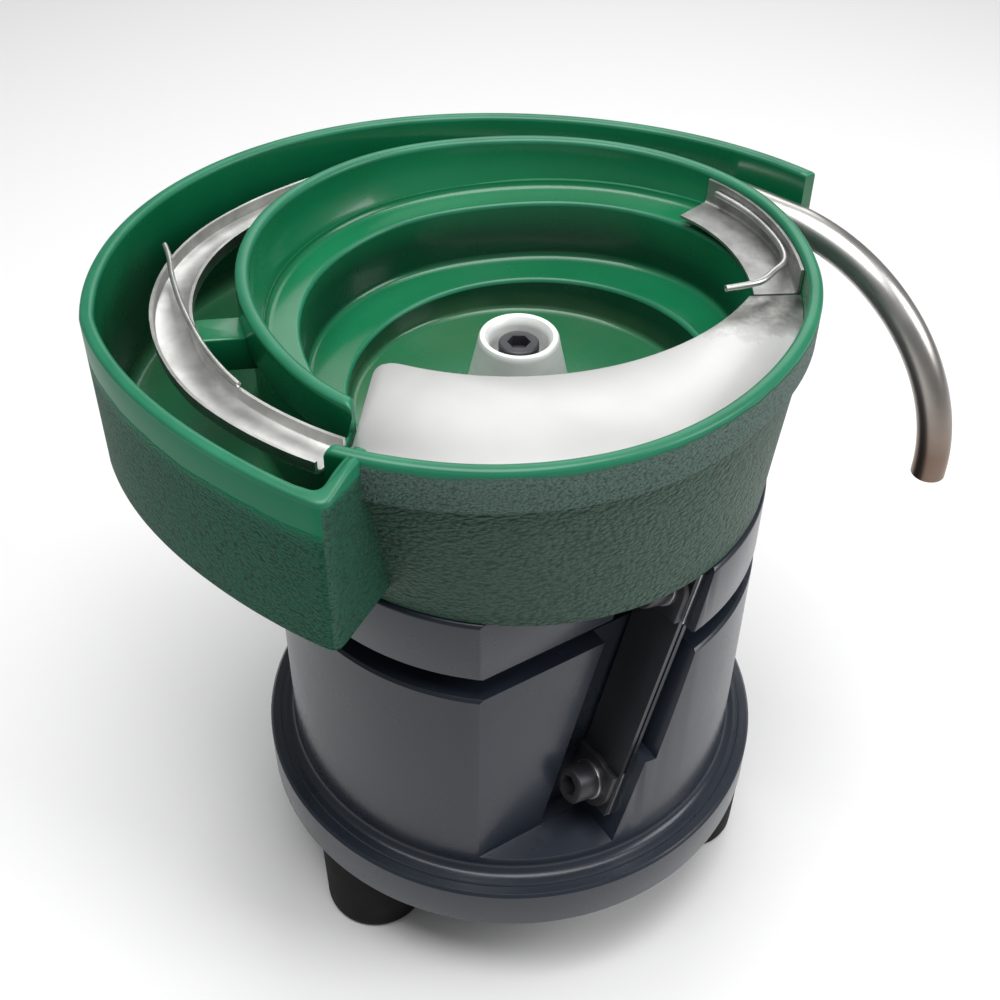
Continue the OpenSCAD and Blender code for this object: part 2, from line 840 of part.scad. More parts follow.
// Turned cone with a round cup, which the centre bolt's head sits in
cup_depth = 12;
module hub_cone() {
    color("#b9bdc0")
    translate([0, 0, bowl_floor_z])
    rotate_extrude()
    polygon([
        [bowl_bolt_d / 2 + fit, 0], [hub_foot_r, 0], [hub_top_r, hub_h - 1], [hub_top_r - 0.6, hub_h],
        [hub_top_r - 2, hub_h], [hub_top_r - 2.8, hub_h - 1.5], [9.5, hub_h - cup_depth],
        [bowl_bolt_d / 2 + fit, hub_h - cup_depth]]);
}
module bowl_washer() {
    color("#8d9094")
    translate([0, 0, bowl_floor_z + hub_h - cup_depth])
    difference() {
        cylinder(d = 16, h = 1.6);
        translate([0, 0, -1])
        cylinder(d = bowl_bolt_d + 2 * fit, h = 4);
    }
}
module bowl_bolt() {
    color("#55585c")
    translate([0, 0, bowl_floor_z + hub_h - cup_depth + 1.6])
    socket_bolt(bowl_bolt_d - fit, floor_rise + hub_h - cup_depth + 1.6 + bowl_bolt_depth);
}

// ---------------------------------------------------------------- tooling

// Gaps left between sheet metal and the bowl's wall, and at welded wires
sheet_gap = 0.2;
weld_gap = 0.1;
shelf_from = 5;
shelf_to = 45;
shelf_step = 5;
function inner_r(a) = wall_r(a) - wall_t - sheet_gap;

// Bent sheet over the track: a floor and a back that stands along the wall
module track_shelf() {
    az = [for (a = [shelf_from:shelf_step:shelf_to]) a];
    cut = [for (a = [shelf_from - shelf_step:shelf_step:shelf_to + shelf_step]) a];
    n = len(az);
    m = len(cut);
    color("#b5b2a8")
    translate([0, 0, seat_z])
    difference() {
        linear_extrude(seat_depth - 2)
        polygon(concat(
            [for (a = az) polar(inner_r(a), a)],
            [for (i = [n - 1:-1:0]) polar(inner_r(az[i]) - track_w - 0.8, az[i])]));
        translate([0, 0, sheet_t])
        linear_extrude(seat_depth)
        polygon(concat(
            [for (a = cut) polar(inner_r(a) - sheet_t, a)],
            [for (i = [m - 1:-1:0]) polar(inner_r(cut[i]) - track_w - 5, cut[i])]));
    }
}

// Flat plate over the front of the bowl, with a concave inner edge
plate_arc_r = 89.5;
plate_arc_centre = [-5, 50];
module front_plate() {
    color("#e9e9e6")
    translate([0, 0, seat_z])
    linear_extrude(plate_t)
    difference() {
        polygon(concat(
            [for (a = [shelf_from - 1:-5:wall_end + 1]) polar(inner_r(a), a)],
            [polar(94, wall_end - 0.8), polar(86, wall_end - 1.4), polar(58, -137.8), polar(54.5, -139.8)],
            [polar(51, -140), polar(30, -130)],
            [polar(40, -50), polar(inner_r(0) - track_w - 1, shelf_from - 1)]));
        translate(plate_arc_centre)
        circle(r = plate_arc_r);
    }
}

// Middle radius and underside height of the exit track
exit_start = 237;
exit_stop = 49;
exit_plan = [
    [0, 94], [10, 96.5], [18, 99], [27, 102.2], [36, 104.5], [44, 106.3], [53, 107.7], [65, 107.8],
    [75, 106.5], [88, 103.4], [100, 101.3], [127, 100], [150, 100.4], [172, 103.8], [188, 109.2]];
function exit_r(a) = smooth(exit_plan, exit_start - a);
exit_level = 25;
function exit_z(a) =
    seat_z - exit_fall * ease(max(0, exit_start - exit_level - a) / (exit_start - exit_level - exit_stop));
exit_section = [
    [-0.5, 1], [-0.5, 0.3], [-0.38, 0], [0.38, 0], [0.5, 0.3], [0.5, 1]];
module exit_track() {
    color("#a9a9a4")
    loft([for (a = [exit_start:-4:exit_stop])
        let (outer = [for (p = exit_section) [p[0] * exit_w, p[1] * exit_h]])
        let (inner = [for (i = [5:-1:0]) let (p = exit_section[i])
            [p[0] * (exit_w - 2 * sheet_t), sheet_t + p[1] * (exit_h - sheet_t)]])
        [for (p = concat(outer, inner))
            let (q = polar(exit_r(a) + p[0], a)) [q[0], q[1], exit_z(a) + p[1]]]]);
}

// Outlet tube, welded to the exit track's end: a straight start, a quarter
// bend and a straight end
tube_drop = 1.3;
tube_z = exit_z(exit_stop) + tube_d / 2 - tube_drop;
module tube_form(r) {
    rotate([0, 0, exit_stop])
    translate([exit_r(exit_stop), -weld_gap, tube_z])
    rotate([0, 0, -90]) {
        rotate([0, 90, 0])
        cylinder(r = r, h = tube_start);
        translate([tube_start, 0, -tube_bend_r])
        rotate([90, 0, 0])
        rotate_extrude(angle = 90)
        translate([tube_bend_r, 0])
        circle(r = r);
        translate([tube_start + tube_bend_r, 0, -tube_bend_r - tube_end])
        cylinder(r = r, h = tube_end);
    }
}
module outlet_tube() {
    color("#b5b5b2")
    difference() {
        tube_form(tube_d / 2);
        tube_form(tube_d / 2 - tube_t);
    }
}

// Wiper: welded to the shelf's back, then bent in over the track
wiper_rise = 6.5;
function wiper_in(a) = inner_r(a) - sheet_t - weld_gap - wiper_d / 2;
wiper_path = concat(
    [for (a = [shelf_to - 3:-8:shelf_to - 27]) polar(wiper_in(a), a)],
    [polar(wiper_in(12) - 1.5, 12), polar(wiper_in(8) - 6.5, 8), polar(75, 4), polar(64, 1)]);
module wiper_wire() {
    color("#c3c3bd")
    wire(curve([for (p = wiper_path) [p[0], p[1], seat_z + wiper_rise]], 4), wiper_d);
}

// Guide: welded to the top edges of the exit track's sides, which it crosses
// to its free end
guide_from = 213;
guide_to = 171.5;
function guide_z(a) = exit_z(a) + exit_h + weld_gap + guide_d / 2;
guide_path = [
    [guide_from, exit_r(guide_from) - (exit_w - sheet_t) / 2, 0], [207, 97, 0.6], [199, 99.3, 1],
    [188, 103.4, 1.2], [178, 109, 0.6], [guide_to, exit_r(guide_to) + (exit_w - sheet_t) / 2, 0],
    [168, 118, 0.2]];
module guide_wire() {
    color("#c3c3bd")
    wire(curve([for (g = guide_path)
        let (q = polar(g[1], g[0])) [q[0], q[1], guide_z(g[0]) + g[2]]], 4), guide_d);
}

base_casting();
foot_front();
foot_right();
foot_back();
foot_studs();
upper_casting();
leaf_spring_front();
leaf_spring_back();
leaf_spring_left();
lower_spring_spacers();
upper_spring_spacers();
lower_clamps();
upper_clamps();
lower_lock_washers();
upper_lock_washers();
lower_spring_bolts();
upper_spring_bolts();
magnet_bracket();
magnet_core();
magnet_bobbin();
magnet_winding();
magnet_screws();
armature_plate();
armature();
armature_screws();
cable_gland();
bowl();
hub_cone();
bowl_bolt();
bowl_washer();
track_shelf();
front_plate();
exit_track();
outlet_tube();
wiper_wire();
guide_wire();
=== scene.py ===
import bmesh
import bpy
import math
from mathutils import Matrix, Vector


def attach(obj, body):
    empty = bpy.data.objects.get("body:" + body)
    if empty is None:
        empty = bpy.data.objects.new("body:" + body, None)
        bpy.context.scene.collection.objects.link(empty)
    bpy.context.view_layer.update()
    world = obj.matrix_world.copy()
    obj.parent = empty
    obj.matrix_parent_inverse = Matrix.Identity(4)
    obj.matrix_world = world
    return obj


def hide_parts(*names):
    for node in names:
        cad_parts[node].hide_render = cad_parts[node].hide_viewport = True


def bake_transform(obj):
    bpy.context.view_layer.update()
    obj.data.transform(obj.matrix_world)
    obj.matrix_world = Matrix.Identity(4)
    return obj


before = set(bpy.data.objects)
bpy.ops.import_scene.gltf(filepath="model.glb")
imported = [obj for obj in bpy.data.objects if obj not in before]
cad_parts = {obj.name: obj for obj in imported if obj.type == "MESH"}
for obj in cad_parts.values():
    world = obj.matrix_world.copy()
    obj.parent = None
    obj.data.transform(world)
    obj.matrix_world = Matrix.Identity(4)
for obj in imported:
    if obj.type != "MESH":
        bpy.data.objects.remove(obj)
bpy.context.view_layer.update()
MM = 0.001

# ------------------------------------------------------------------ levels and plans
# Lengths are in mm and angles in degrees. Azimuths run anticlockwise from +X. The track, the wall
# and the exit track run clockwise, so their tables count degrees clockwise from their own start.
BOWL_Z, FLOOR_Z, BAND_Z, SEAT_Z, RIM_Z = 180.6, 197.6, 234.7, 238.5, 250.0

# main wall: (azimuth, outer radius); the body below stands BAND_STEP further in
WALL_T, BAND_STEP, BAND_BEVEL, BODY_R = 4.5, 2.5, 1.25, 84
WALL_START, WALL_END = 234, -121
WALL_PLAN = [(234, 82.5), (205, 83.8), (160, 92), (130, 93.3), (95, 91.7), (40, 97.5), (5, 94),
             (-35, 89.3), (-75, 92.3), (-105, 97), (-121, 101)]

# track: (degrees from its start, inner radius) of its first turn; then it follows the wall
TRACK_START, TRACK_W, TRACK_SINK, PITCH = -65, 14.0, 0.3, 22.5
FIRST_TURN = [(0, 46), (60, 51.5), (115, 56), (205, 59), (295, 63), (415, 63.5)]

# return pan: an oval about its mean radius, with a dent before its corner
PAN_Z, PAN_FLOOR_Z, PAN_RIM_Z = 191.5, 198.0, 247.0
PAN_OPEN, PAN_CORNER = 35.5, 245
PAN_R, PAN_OVAL, PAN_LONG_AT = 125, 10, 175
PAN_DENT, PAN_DENT_AT, PAN_DENT_RUN = 5, 190, 55

# exit track: (degrees from its start, middle radius); level for EXIT_LEVEL, then down EXIT_FALL
EXIT_START, EXIT_STOP, EXIT_LEVEL, EXIT_FALL, EXIT_W = 237, 49, 25, 9, 13
EXIT_PLAN = [(0, 94), (10, 96.5), (18, 99), (27, 102.2), (36, 104.5), (44, 106.3), (53, 107.7),
             (65, 107.8), (75, 106.5), (88, 103.4), (100, 101.3), (127, 100), (150, 100.4),
             (172, 103.8), (188, 109.2)]


def rad(a):
    return math.radians(a)


def polar(r, a, z=0.0):
    return Vector((r * math.cos(rad(a)), r * math.sin(rad(a)), z))


def lift(z):
    return Vector((0, 0, z))


def ease(u):
    """Soft step from 0 at u = 0 to 1 at u = 1."""
    u = min(1.0, max(0.0, u))
    return u * u * (3 - 2 * u)


def quarter(n):
    """Sines and cosines of n + 1 even steps through a quarter turn."""
    return [(math.sin(k * math.pi / 2 / n), math.cos(k * math.pi / 2 / n)) for k in range(n + 1)]


def bezier(a, b, c, n):
    """n + 1 points on the curve from a to c that b pulls towards itself."""
    steps = [k / n for k in range(n + 1)]
    return [(1 - t) ** 2 * a + 2 * t * (1 - t) * b + t * t * c for t in steps]


def smooth(table, x):
    """Smooth curve through (position, value) pairs in rising order of position."""
    if x <= table[0][0]:
        return table[0][1]
    last = len(table) - 1

    def slope(i):
        (xa, ya), (xb, yb) = table[max(i - 1, 0)], table[min(i + 1, last)]
        return (yb - ya) / (xb - xa)
    for i in range(last):
        (x0, y0), (x1, y1) = table[i], table[i + 1]
        if x <= x1:
            d, u = x1 - x0, (x - x0) / (x1 - x0)
            return (y0 * (1 + 2 * u) * (1 - u) ** 2 + y1 * u * u * (3 - 2 * u)
                    + d * slope(i) * u * (1 - u) ** 2 - d * slope(i + 1) * u * u * (1 - u))
    return table[-1][1]


WALL_LIST = [(WALL_START - a, r) for a, r in WALL_PLAN]
WALL_RUN = WALL_START - WALL_END


def wall_r(a):
    """Outer radius of the main wall, carried straight across the gap between its ends."""
    t = (WALL_START - a) % 360
    if t <= WALL_RUN:
        return smooth(WALL_LIST, t)
    u = (t - WALL_RUN) / (360 - WALL_RUN)
    return WALL_LIST[-1][1] * (1 - u) + WALL_LIST[0][1] * u


def body_r(a, z):
    """Outer radius of the body below the band."""
    u = (min(z, BAND_Z) - BOWL_Z) / (BAND_Z - BOWL_Z)
    return BODY_R + u * (wall_r(a) - BAND_STEP - BODY_R)


def chamber_r(a, z):
    """Radius of the bowl's inside."""
    if z > BAND_Z + BAND_BEVEL:
        return wall_r(a) - WALL_T
    inner = body_r(a, z) - WALL_T
    return inner + (wall_r(a) - WALL_T - inner) * max(0, z - BAND_Z) / BAND_BEVEL


def pan_r(a):
    oval = PAN_OVAL * math.cos(rad(2 * (a - PAN_LONG_AT)))
    dent = PAN_DENT * math.sin(rad(180 * (a - PAN_DENT_AT) / PAN_DENT_RUN))
    return PAN_R + oval - (dent if a > PAN_DENT_AT else 0)


def track_z(t):
    return FLOOR_Z - TRACK_SINK + PITCH * t / 360


def track_in_r(t):
    if t < FIRST_TURN[-1][0]:
        return smooth(FIRST_TURN, t)
    return wall_r(TRACK_START - t) - WALL_T - TRACK_W


def exit_r(a):
    return smooth(EXIT_PLAN, EXIT_START - a)


def exit_z(a):
    level = EXIT_START - EXIT_LEVEL
    return SEAT_Z - EXIT_FALL * ease((level - a) / (level - EXIT_STOP))


# ------------------------------------------------------------------ mesh tools
def finish_mesh(name, bm, mats, body, stands_for, angle=35):
    """Object from bm, smooth but for edges sharper than angle."""
    bmesh.ops.remove_doubles(bm, verts=bm.verts, dist=1e-6)
    bmesh.ops.recalc_face_normals(bm, faces=bm.faces)
    for f in bm.faces:
        f.smooth = True
    for e in bm.edges:
        if len(e.link_faces) == 2 and e.calc_face_angle(0) > rad(angle):
            e.smooth = False
    me = bpy.data.meshes.new(name)
    bm.to_mesh(me)
    bm.free()
    ob = bpy.data.objects.new(name, me)
    bpy.context.scene.collection.objects.link(ob)
    for m in mats if isinstance(mats, (list, tuple)) else [mats]:
        me.materials.append(m)
    if body:
        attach(ob, body)
    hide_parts(*stands_for)
    return ob


def draw(bm, points):
    """Closed outline through points in mm: its vertices and its edges."""
    verts = [bm.verts.new(Vector(p) * MM) for p in points]
    return verts, [bm.edges.new((b, a)) for a, b in zip(verts, verts[1:] + verts[:1])]


def sweep(bm, rings, loop=False, caps=True, mat=None):
    """Skin through equal closed rings of points in mm: the first is drawn and then extruded to
    each of the others.

    loop goes on to the first ring again, and mat gives the material of the face at
    (ring, point)."""
    first, edges = draw(bm, rings[0])
    old = first
    for i, ring in enumerate(rings[1:] + (rings[:1] if loop else [])):
        made = bmesh.ops.extrude_edge_only(bm, edges=edges)["geom"]
        fresh = {v for v in made if isinstance(v, bmesh.types.BMVert)}
        new = [next(e.other_vert(v) for e in v.link_edges if e.other_vert(v) in fresh)
               for v in old]
        for v, p in zip(new, ring):
            v.co = Vector(p) * MM
        if mat:
            for j in range(len(ring)):
                k = (j + 1) % len(ring)
                bm.faces.get((old[j], old[k], new[k], new[j])).material_index = mat(i, j)
        old, edges = new, [e for e in made if isinstance(e, bmesh.types.BMEdge)]
    if caps and not loop:
        bm.faces.new(first)
        bm.faces.new(old)


def rounded(points, radii, n):
    """Closed 2-D outline with its i-th corner rounded by about radii[i], or left sharp at 0."""
    out = []
    for i, r in enumerate(radii):
        p, a, b = Vector(points[i]), Vector(points[i - 1]), Vector(points[(i + 1) % len(points)])
        if r:
            u, v = (a - p), (b - p)
            d = min(r, u.length * 0.49, v.length * 0.49)
            out += bezier(p + u.normalized() * d, p, p + v.normalized() * d, n)
        else:
            out.append(p)
    return out


def lathe(bm, profile, steps, centre=(0, 0, 0)):
    """Solid of revolution: the outline of (radius, height) pairs, spun about centre."""
    verts, edges = draw(bm, [Vector((r, 0, z)) + Vector(centre) for r, z in profile])
    bmesh.ops.spin(bm, geom=verts + edges, cent=Vector(centre) * MM, axis=(0, 0, 1),
                   angle=2 * math.pi, steps=steps, use_merge=True)


def tube(bm, path, r, sides, inner=None):
    """Pipe of inner radius inner through a smooth path in mm, or else a bar with round ends."""
    n = len(path)
    frames, up = [], Vector((0, 0, 1))
    for i in range(n):
        t = (path[min(i + 1, n - 1)] - path[max(i - 1, 0)]).normalized()
        u = t.cross(up)
        u = u.normalized() if u.length > 1e-6 else frames[-1][1]
        if frames and u.dot(frames[-1][1]) < 0:
            u = -u
        frames.append((t, u, t.cross(u)))

    def ring(p, fr, rr):
        turns = [2 * math.pi * j / sides for j in range(sides)]
        return [p + rr * (math.cos(t) * fr[1] + math.sin(t) * fr[2]) for t in turns]

    def round_end(i, way):
        """Rings that close the end at path[i]; way is 1 at the start and -1 at the finish."""
        out = []
        for k in (0.15, 0.5, 0.85):
            s = math.sin(k * math.pi / 2)
            out.append(ring(path[i] + way * frames[i][0] * r * (1 - s), frames[i], r * s))
        return out[::way]
    rings = [ring(p, f, r) for p, f in zip(path, frames)]
    if inner is None:
        sweep(bm, round_end(0, 1) + rings[1:-1] + round_end(-1, -1))
        return
    inside = [ring(p, f, inner) for p, f in zip(path, frames)]
    edge = 0.25
    first = [ring(path[0], frames[0], r - edge)]
    last = [ring(path[-1], frames[-1], r - edge)]
    rings[0] = ring(path[0] + frames[0][0] * edge, frames[0], r)
    rings[-1] = ring(path[-1] - frames[-1][0] * edge, frames[-1], r)
    sweep(bm, first + rings + last + inside[::-1] + first, caps=False)


def curve_points(pts):
    """Smooth path through pts, in eight steps to each span."""
    n = 8
    out, k = [], [pts[0]] + pts + [pts[-1]]
    for i in range(len(pts) - 1):
        p0, p1, p2, p3 = (Vector(q) for q in k[i:i + 4])
        for j in range(n):
            u = j / n
            out.append(0.5 * (2 * p1 + (p2 - p0) * u + (2 * p0 - 5 * p1 + 4 * p2 - p3) * u * u
                              + (3 * p1 - p0 - 3 * p2 + p3) * u * u * u))
    return out + [Vector(pts[-1])]


def slab(bm, outline, z0, z1, r, n, shift=None):
    """Upright plate from a dense plan outline, its top and bottom edges rounded by r in n steps.

    shift moves the point (plan point, level); a plate over 12 mm tall gets rows between."""
    m = len(outline)
    pts = [Vector((p[0], p[1], 0)) for p in outline]
    nexts = pts[1:] + pts[:1]
    if sum(p.x * q.y - q.x * p.y for p, q in zip(pts, nexts)) < 0:
        pts.reverse()
    norm = []
    for i in range(m):
        a = (pts[i] - pts[i - 1]).normalized()
        b = (pts[(i + 1) % m] - pts[i]).normalized()
        na, nb = Vector((a.y, -a.x, 0)), Vector((b.y, -b.x, 0))
        k = (na + nb)
        k = k.normalized() if k.length > 1e-6 else na
        norm.append(k / max(0.5, k.dot(na)))
    levels = [(z0 + r - r * c, r - r * s) for s, c in quarter(n)]
    if z1 - z0 > 12:
        levels += [(z0 + r + (z1 - z0 - 2 * r) * k / 8, 0.0) for k in range(1, 8)]
    levels += [(z1 - r + r * s, r - r * c) for s, c in quarter(n)]
    rings = []
    for z, inset in levels:
        ring = [p - q * inset for p, q in zip(pts, norm)]
        rings.append([(shift(p, z) if shift else p) + lift(z) for p in ring])
    sweep(bm, rings)


# ------------------------------------------------------------------ material tools
def new_mat(name, color, rough, metal=0.0, coat=0.0, spec=0.5):
    m = bpy.data.materials.new(name)
    m.use_nodes = True
    b = m.node_tree.nodes["Principled BSDF"]
    for key, value in (("Base Color", (*color, 1)), ("Roughness", rough), ("Metallic", metal),
                       ("Coat Weight", coat), ("Coat Roughness", 0.12),
                       ("Specular IOR Level", spec)):
        b.inputs[key].default_value = value
    return m, m.node_tree, b


def link(nt, a, b):
    nt.links.new(a, b)


def coords(nt, scale=(1, 1, 1)):
    """Position in metres, multiplied by scale."""
    tc = nt.nodes.new("ShaderNodeTexCoord")
    mp = nt.nodes.new("ShaderNodeMapping")
    mp.inputs["Scale"].default_value = scale
    link(nt, tc.outputs["Object"], mp.inputs["Vector"])
    return mp.outputs["Vector"]


def split(nt, v):
    """The X, Y and Z of a vector."""
    n = nt.nodes.new("ShaderNodeSeparateXYZ")
    link(nt, v, n.inputs[0])
    return n.outputs


def noise(nt, vec, scale, detail, rough=0.55):
    n = nt.nodes.new("ShaderNodeTexNoise")
    n.inputs["Scale"].default_value = scale
    n.inputs["Detail"].default_value = detail
    n.inputs["Roughness"].default_value = rough
    link(nt, vec, n.inputs["Vector"])
    return n.outputs["Fac"]


def ramp(nt, fac, stops):
    """Colour from two (position, colour) stops."""
    r = nt.nodes.new("ShaderNodeValToRGB")
    for e, (p, c) in zip(r.color_ramp.elements, stops):
        e.position = p
        e.color = (*c, 1)
    link(nt, fac, r.inputs["Fac"])
    return r.outputs["Color"]


def remap(nt, fac, lo, hi, start=0.0, stop=1.0):
    """The range start to stop, mapped to lo to hi and clamped."""
    m = nt.nodes.new("ShaderNodeMapRange")
    for k, v in (("From Min", start), ("From Max", stop), ("To Min", lo), ("To Max", hi)):
        m.inputs[k].default_value = v
    link(nt, fac, m.inputs["Value"])
    return m.outputs["Result"]


def math_node(nt, op, a, b):
    m = nt.nodes.new("ShaderNodeMath")
    m.operation = op
    for i, v in enumerate((a, b)):
        if isinstance(v, (int, float)):
            m.inputs[i].default_value = v
        else:
            link(nt, v, m.inputs[i])
    return m.outputs[0]


def mix_color(nt, fac, a, b):
    """a where fac is 0 and b where it is 1; each is a colour or a socket."""
    m = nt.nodes.new("ShaderNodeMix")
    m.data_type = "RGBA"
    for key, v in (("Factor", fac), ("A", a), ("B", b)):
        if isinstance(v, tuple):
            m.inputs[key].default_value = (*v, 1)
        else:
            link(nt, v, m.inputs[key])
    return m.outputs["Result"]


def mottle(nt, v, freq, detail, dark, light, stop=0.7):
    """Two colours in soft patches."""
    return ramp(nt, noise(nt, v, freq, detail), [(0.3, dark), (stop, light)])


def uneven(nt, b, v, freq, lo, hi):
    """Roughness that wanders between lo and hi."""
    link(nt, remap(nt, noise(nt, v, freq, 4), lo, hi), b.inputs["Roughness"])


def bump(nt, b, height, strength, distance):
    n = nt.nodes.new("ShaderNodeBump")
    n.inputs["Strength"].default_value = strength
    n.inputs["Distance"].default_value = distance
    link(nt, height, n.inputs["Height"])
    link(nt, n.outputs["Normal"], b.inputs["Normal"])


# ------------------------------------------------------------------ materials
def make_smooth_green():
    """Glossy coat, with painted shade darkening its upright walls low in the bowl, and a pale
    film on its floor.
    """
    m, nt, b = new_mat("bowl_smooth", (0.004, 0.13, 0.052), 0.26, coat=0.35, spec=0.3)
    v = coords(nt)
    green = mottle(nt, v, 14, 3, (0.003, 0.112, 0.042), (0.006, 0.150, 0.060))
    facing = split(nt, nt.nodes.new("ShaderNodeNewGeometry").outputs["Normal"])
    # painted shade: upright faces low in the bowl are mixed up to 80 % towards near-black green
    upright = remap(nt, math_node(nt, "ABSOLUTE", facing["Z"], 0.0), 1.0, 0.0, 0.2, 0.9)
    height = split(nt, v)["Z"]
    low_shade = math_node(nt, "MULTIPLY", upright, remap(nt, height, 0.8, 0.0, 0.220, 0.236))
    patches = remap(nt, noise(nt, v, 22, 4), 0.1, 0.5, 0.35, 0.65)
    film = math_node(nt, "MULTIPLY", remap(nt, height, 1.0, 0.0, 0.2, 0.206), patches)
    shaded_walls = mix_color(nt, low_shade, green, (0.001, 0.012, 0.006))
    link(nt, mix_color(nt, film, shaded_walls, (0.06, 0.13, 0.065)), b.inputs["Base Color"])
    uneven(nt, b, v, 60, 0.18, 0.34)
    bump(nt, b, noise(nt, v, 90, 2), 0.06, 0.0006)
    return m


# lighter copy of the bowl's green for the rounded tops of the walls: a painted highlight
def make_rim_highlight_green():
    m, nt, b = new_mat("bowl_rim_highlight", (0.02, 0.22, 0.12), 0.34, spec=0.4)
    v = coords(nt)
    green = mottle(nt, v, 40, 3, (0.009, 0.132, 0.065), (0.018, 0.176, 0.092))
    link(nt, green, b.inputs["Base Color"])
    bump(nt, b, noise(nt, v, 160, 2), 0.08, 0.0005)
    return m


def make_leather(name, low_shade, high, cell, depth, z0, z1, top, shine=0.42):
    """Leathery coat: flattened cells between grooves that painted shade makes dark.

    From the level z0 up to z1 it gives way to a smooth coat of the colour top."""
    m, nt, b = new_mat(name, high, 0.45, spec=0.4)
    v, place = coords(nt, (1, 1, 1.55)), coords(nt)
    vo = nt.nodes.new("ShaderNodeTexVoronoi")
    vo.feature = "SMOOTH_F1"
    vo.inputs["Scale"].default_value = cell
    vo.inputs["Smoothness"].default_value = 0.35
    vo.inputs["Randomness"].default_value = 1.0
    nz = nt.nodes.new("ShaderNodeTexNoise")
    nz.inputs["Scale"].default_value = cell * 0.55
    nz.inputs["Detail"].default_value = 2
    link(nt, v, nz.inputs["Vector"])
    warp = nt.nodes.new("ShaderNodeVectorMath")
    warp.operation = "MULTIPLY_ADD"
    link(nt, nz.outputs["Color"], warp.inputs[0])
    warp.inputs[1].default_value = (1.1 / cell, 1.1 / cell, 1.1 / cell)
    link(nt, v, warp.inputs[2])
    link(nt, warp.outputs[0], vo.inputs["Vector"])
    cells = math_node(nt, "SUBTRACT", 1.0, vo.outputs["Distance"])
    grain = math_node(nt, "MULTIPLY", noise(nt, v, cell * 1.7, 4, 0.65), 0.75)
    relief = math_node(nt, "ADD", cells, grain)
    wander = math_node(nt, "MULTIPLY", noise(nt, place, 60, 2), 0.003)
    level = math_node(nt, "ADD", split(nt, place)["Z"], wander)
    mask = remap(nt, level, 1.0, 0.0, z0 * MM, z1 * MM)
    bump(nt, b, math_node(nt, "MULTIPLY", relief, mask), 1.0, depth)
    # painted shade: the colour follows the bump's relief, from the groove colour down in the
    # grooves to the cell colour on top
    groove_shaded_leather = ramp(nt, relief, [(0.50, low_shade), (1.0, high)])
    link(nt, mix_color(nt, mask, top, groove_shaded_leather), b.inputs["Base Color"])
    link(nt, remap(nt, mask, 0.34, 0.45), b.inputs["Roughness"])
    link(nt, remap(nt, mask, 0.12, shine), b.inputs["Specular IOR Level"])
    return m


def make_paint():
    m, nt, b = new_mat("drive_paint", (0.020, 0.025, 0.037), 0.25, coat=0.10, spec=0.4)
    v = coords(nt)
    paint = mottle(nt, v, 9, 4, (0.015, 0.020, 0.030), (0.024, 0.030, 0.043))
    link(nt, paint, b.inputs["Base Color"])
    uneven(nt, b, v, 35, 0.2, 0.38)
    bump(nt, b, noise(nt, v, 220, 3), 0.10, 0.0004)
    return m


def make_rubber():
    m, nt, b = new_mat("foot_rubber", (0.008, 0.0075, 0.007), 0.7, spec=0.15)
    v = coords(nt)
    black = mottle(nt, v, 70, 4, (0.0045, 0.0042, 0.0042), (0.012, 0.011, 0.010), 0.75)
    link(nt, black, b.inputs["Base Color"])
    bump(nt, b, noise(nt, v, 900, 3), 0.15, 0.0003)
    return m


def make_tube():
    """Stainless tube, with a painted brown reflection towards its lower end."""
    m, nt, b = new_mat("tube_stainless", (0.52, 0.51, 0.49), 0.33, metal=1.0)
    v = coords(nt)
    # painted reflection: full brown below 0.170 m, fading out by 0.222 m
    low_reflection = remap(nt, split(nt, v)["Z"], 1.0, 0.0, 0.170, 0.222)
    steel = mottle(nt, v, 45, 5, (0.52, 0.51, 0.49), (0.66, 0.65, 0.63))
    link(nt, mix_color(nt, low_reflection, steel, (0.19, 0.135, 0.105)), b.inputs["Base Color"])
    uneven(nt, b, v, 100, 0.27, 0.39)
    return m


def make_plate():
    """Bright sheet, stained grey with ragged patches at its right end beside the shelf."""
    m, nt, b = new_mat("stainless_bright", (0.7, 0.7, 0.68), 0.42, metal=1.0)
    v = coords(nt)
    ragged = math_node(nt, "MULTIPLY", noise(nt, v, 130, 5, 0.7), 0.030)
    edge = math_node(nt, "ADD", split(nt, v)["Y"], ragged)
    stained = remap(nt, edge, 0.0, 1.0, -0.004, 0.004)
    bright = mottle(nt, v, 22, 5, (0.56, 0.56, 0.55), (0.62, 0.62, 0.61))
    stains = mottle(nt, v, 260, 4, (0.20, 0.20, 0.19), (0.46, 0.46, 0.44))
    link(nt, mix_color(nt, stained, bright, stains), b.inputs["Base Color"])
    uneven(nt, b, v, 60, 0.37, 0.47)
    return m


def make_metal(name, color, rough, scale, freq, spread, dark, bumps, metal=1.0):
    """Plain metal or plastic in soft patches; dark is how dark the darker patches are."""
    m, nt, b = new_mat(name, color, rough, metal=metal)
    v = coords(nt, scale)
    patches = mottle(nt, v, freq, 5, tuple(c * dark for c in color), color)
    link(nt, patches, b.inputs["Base Color"])
    uneven(nt, b, v, freq * 2.3, rough - spread / 2, rough + spread / 2)
    bump(nt, b, noise(nt, v, 700, 2), bumps, 0.0003)
    return m


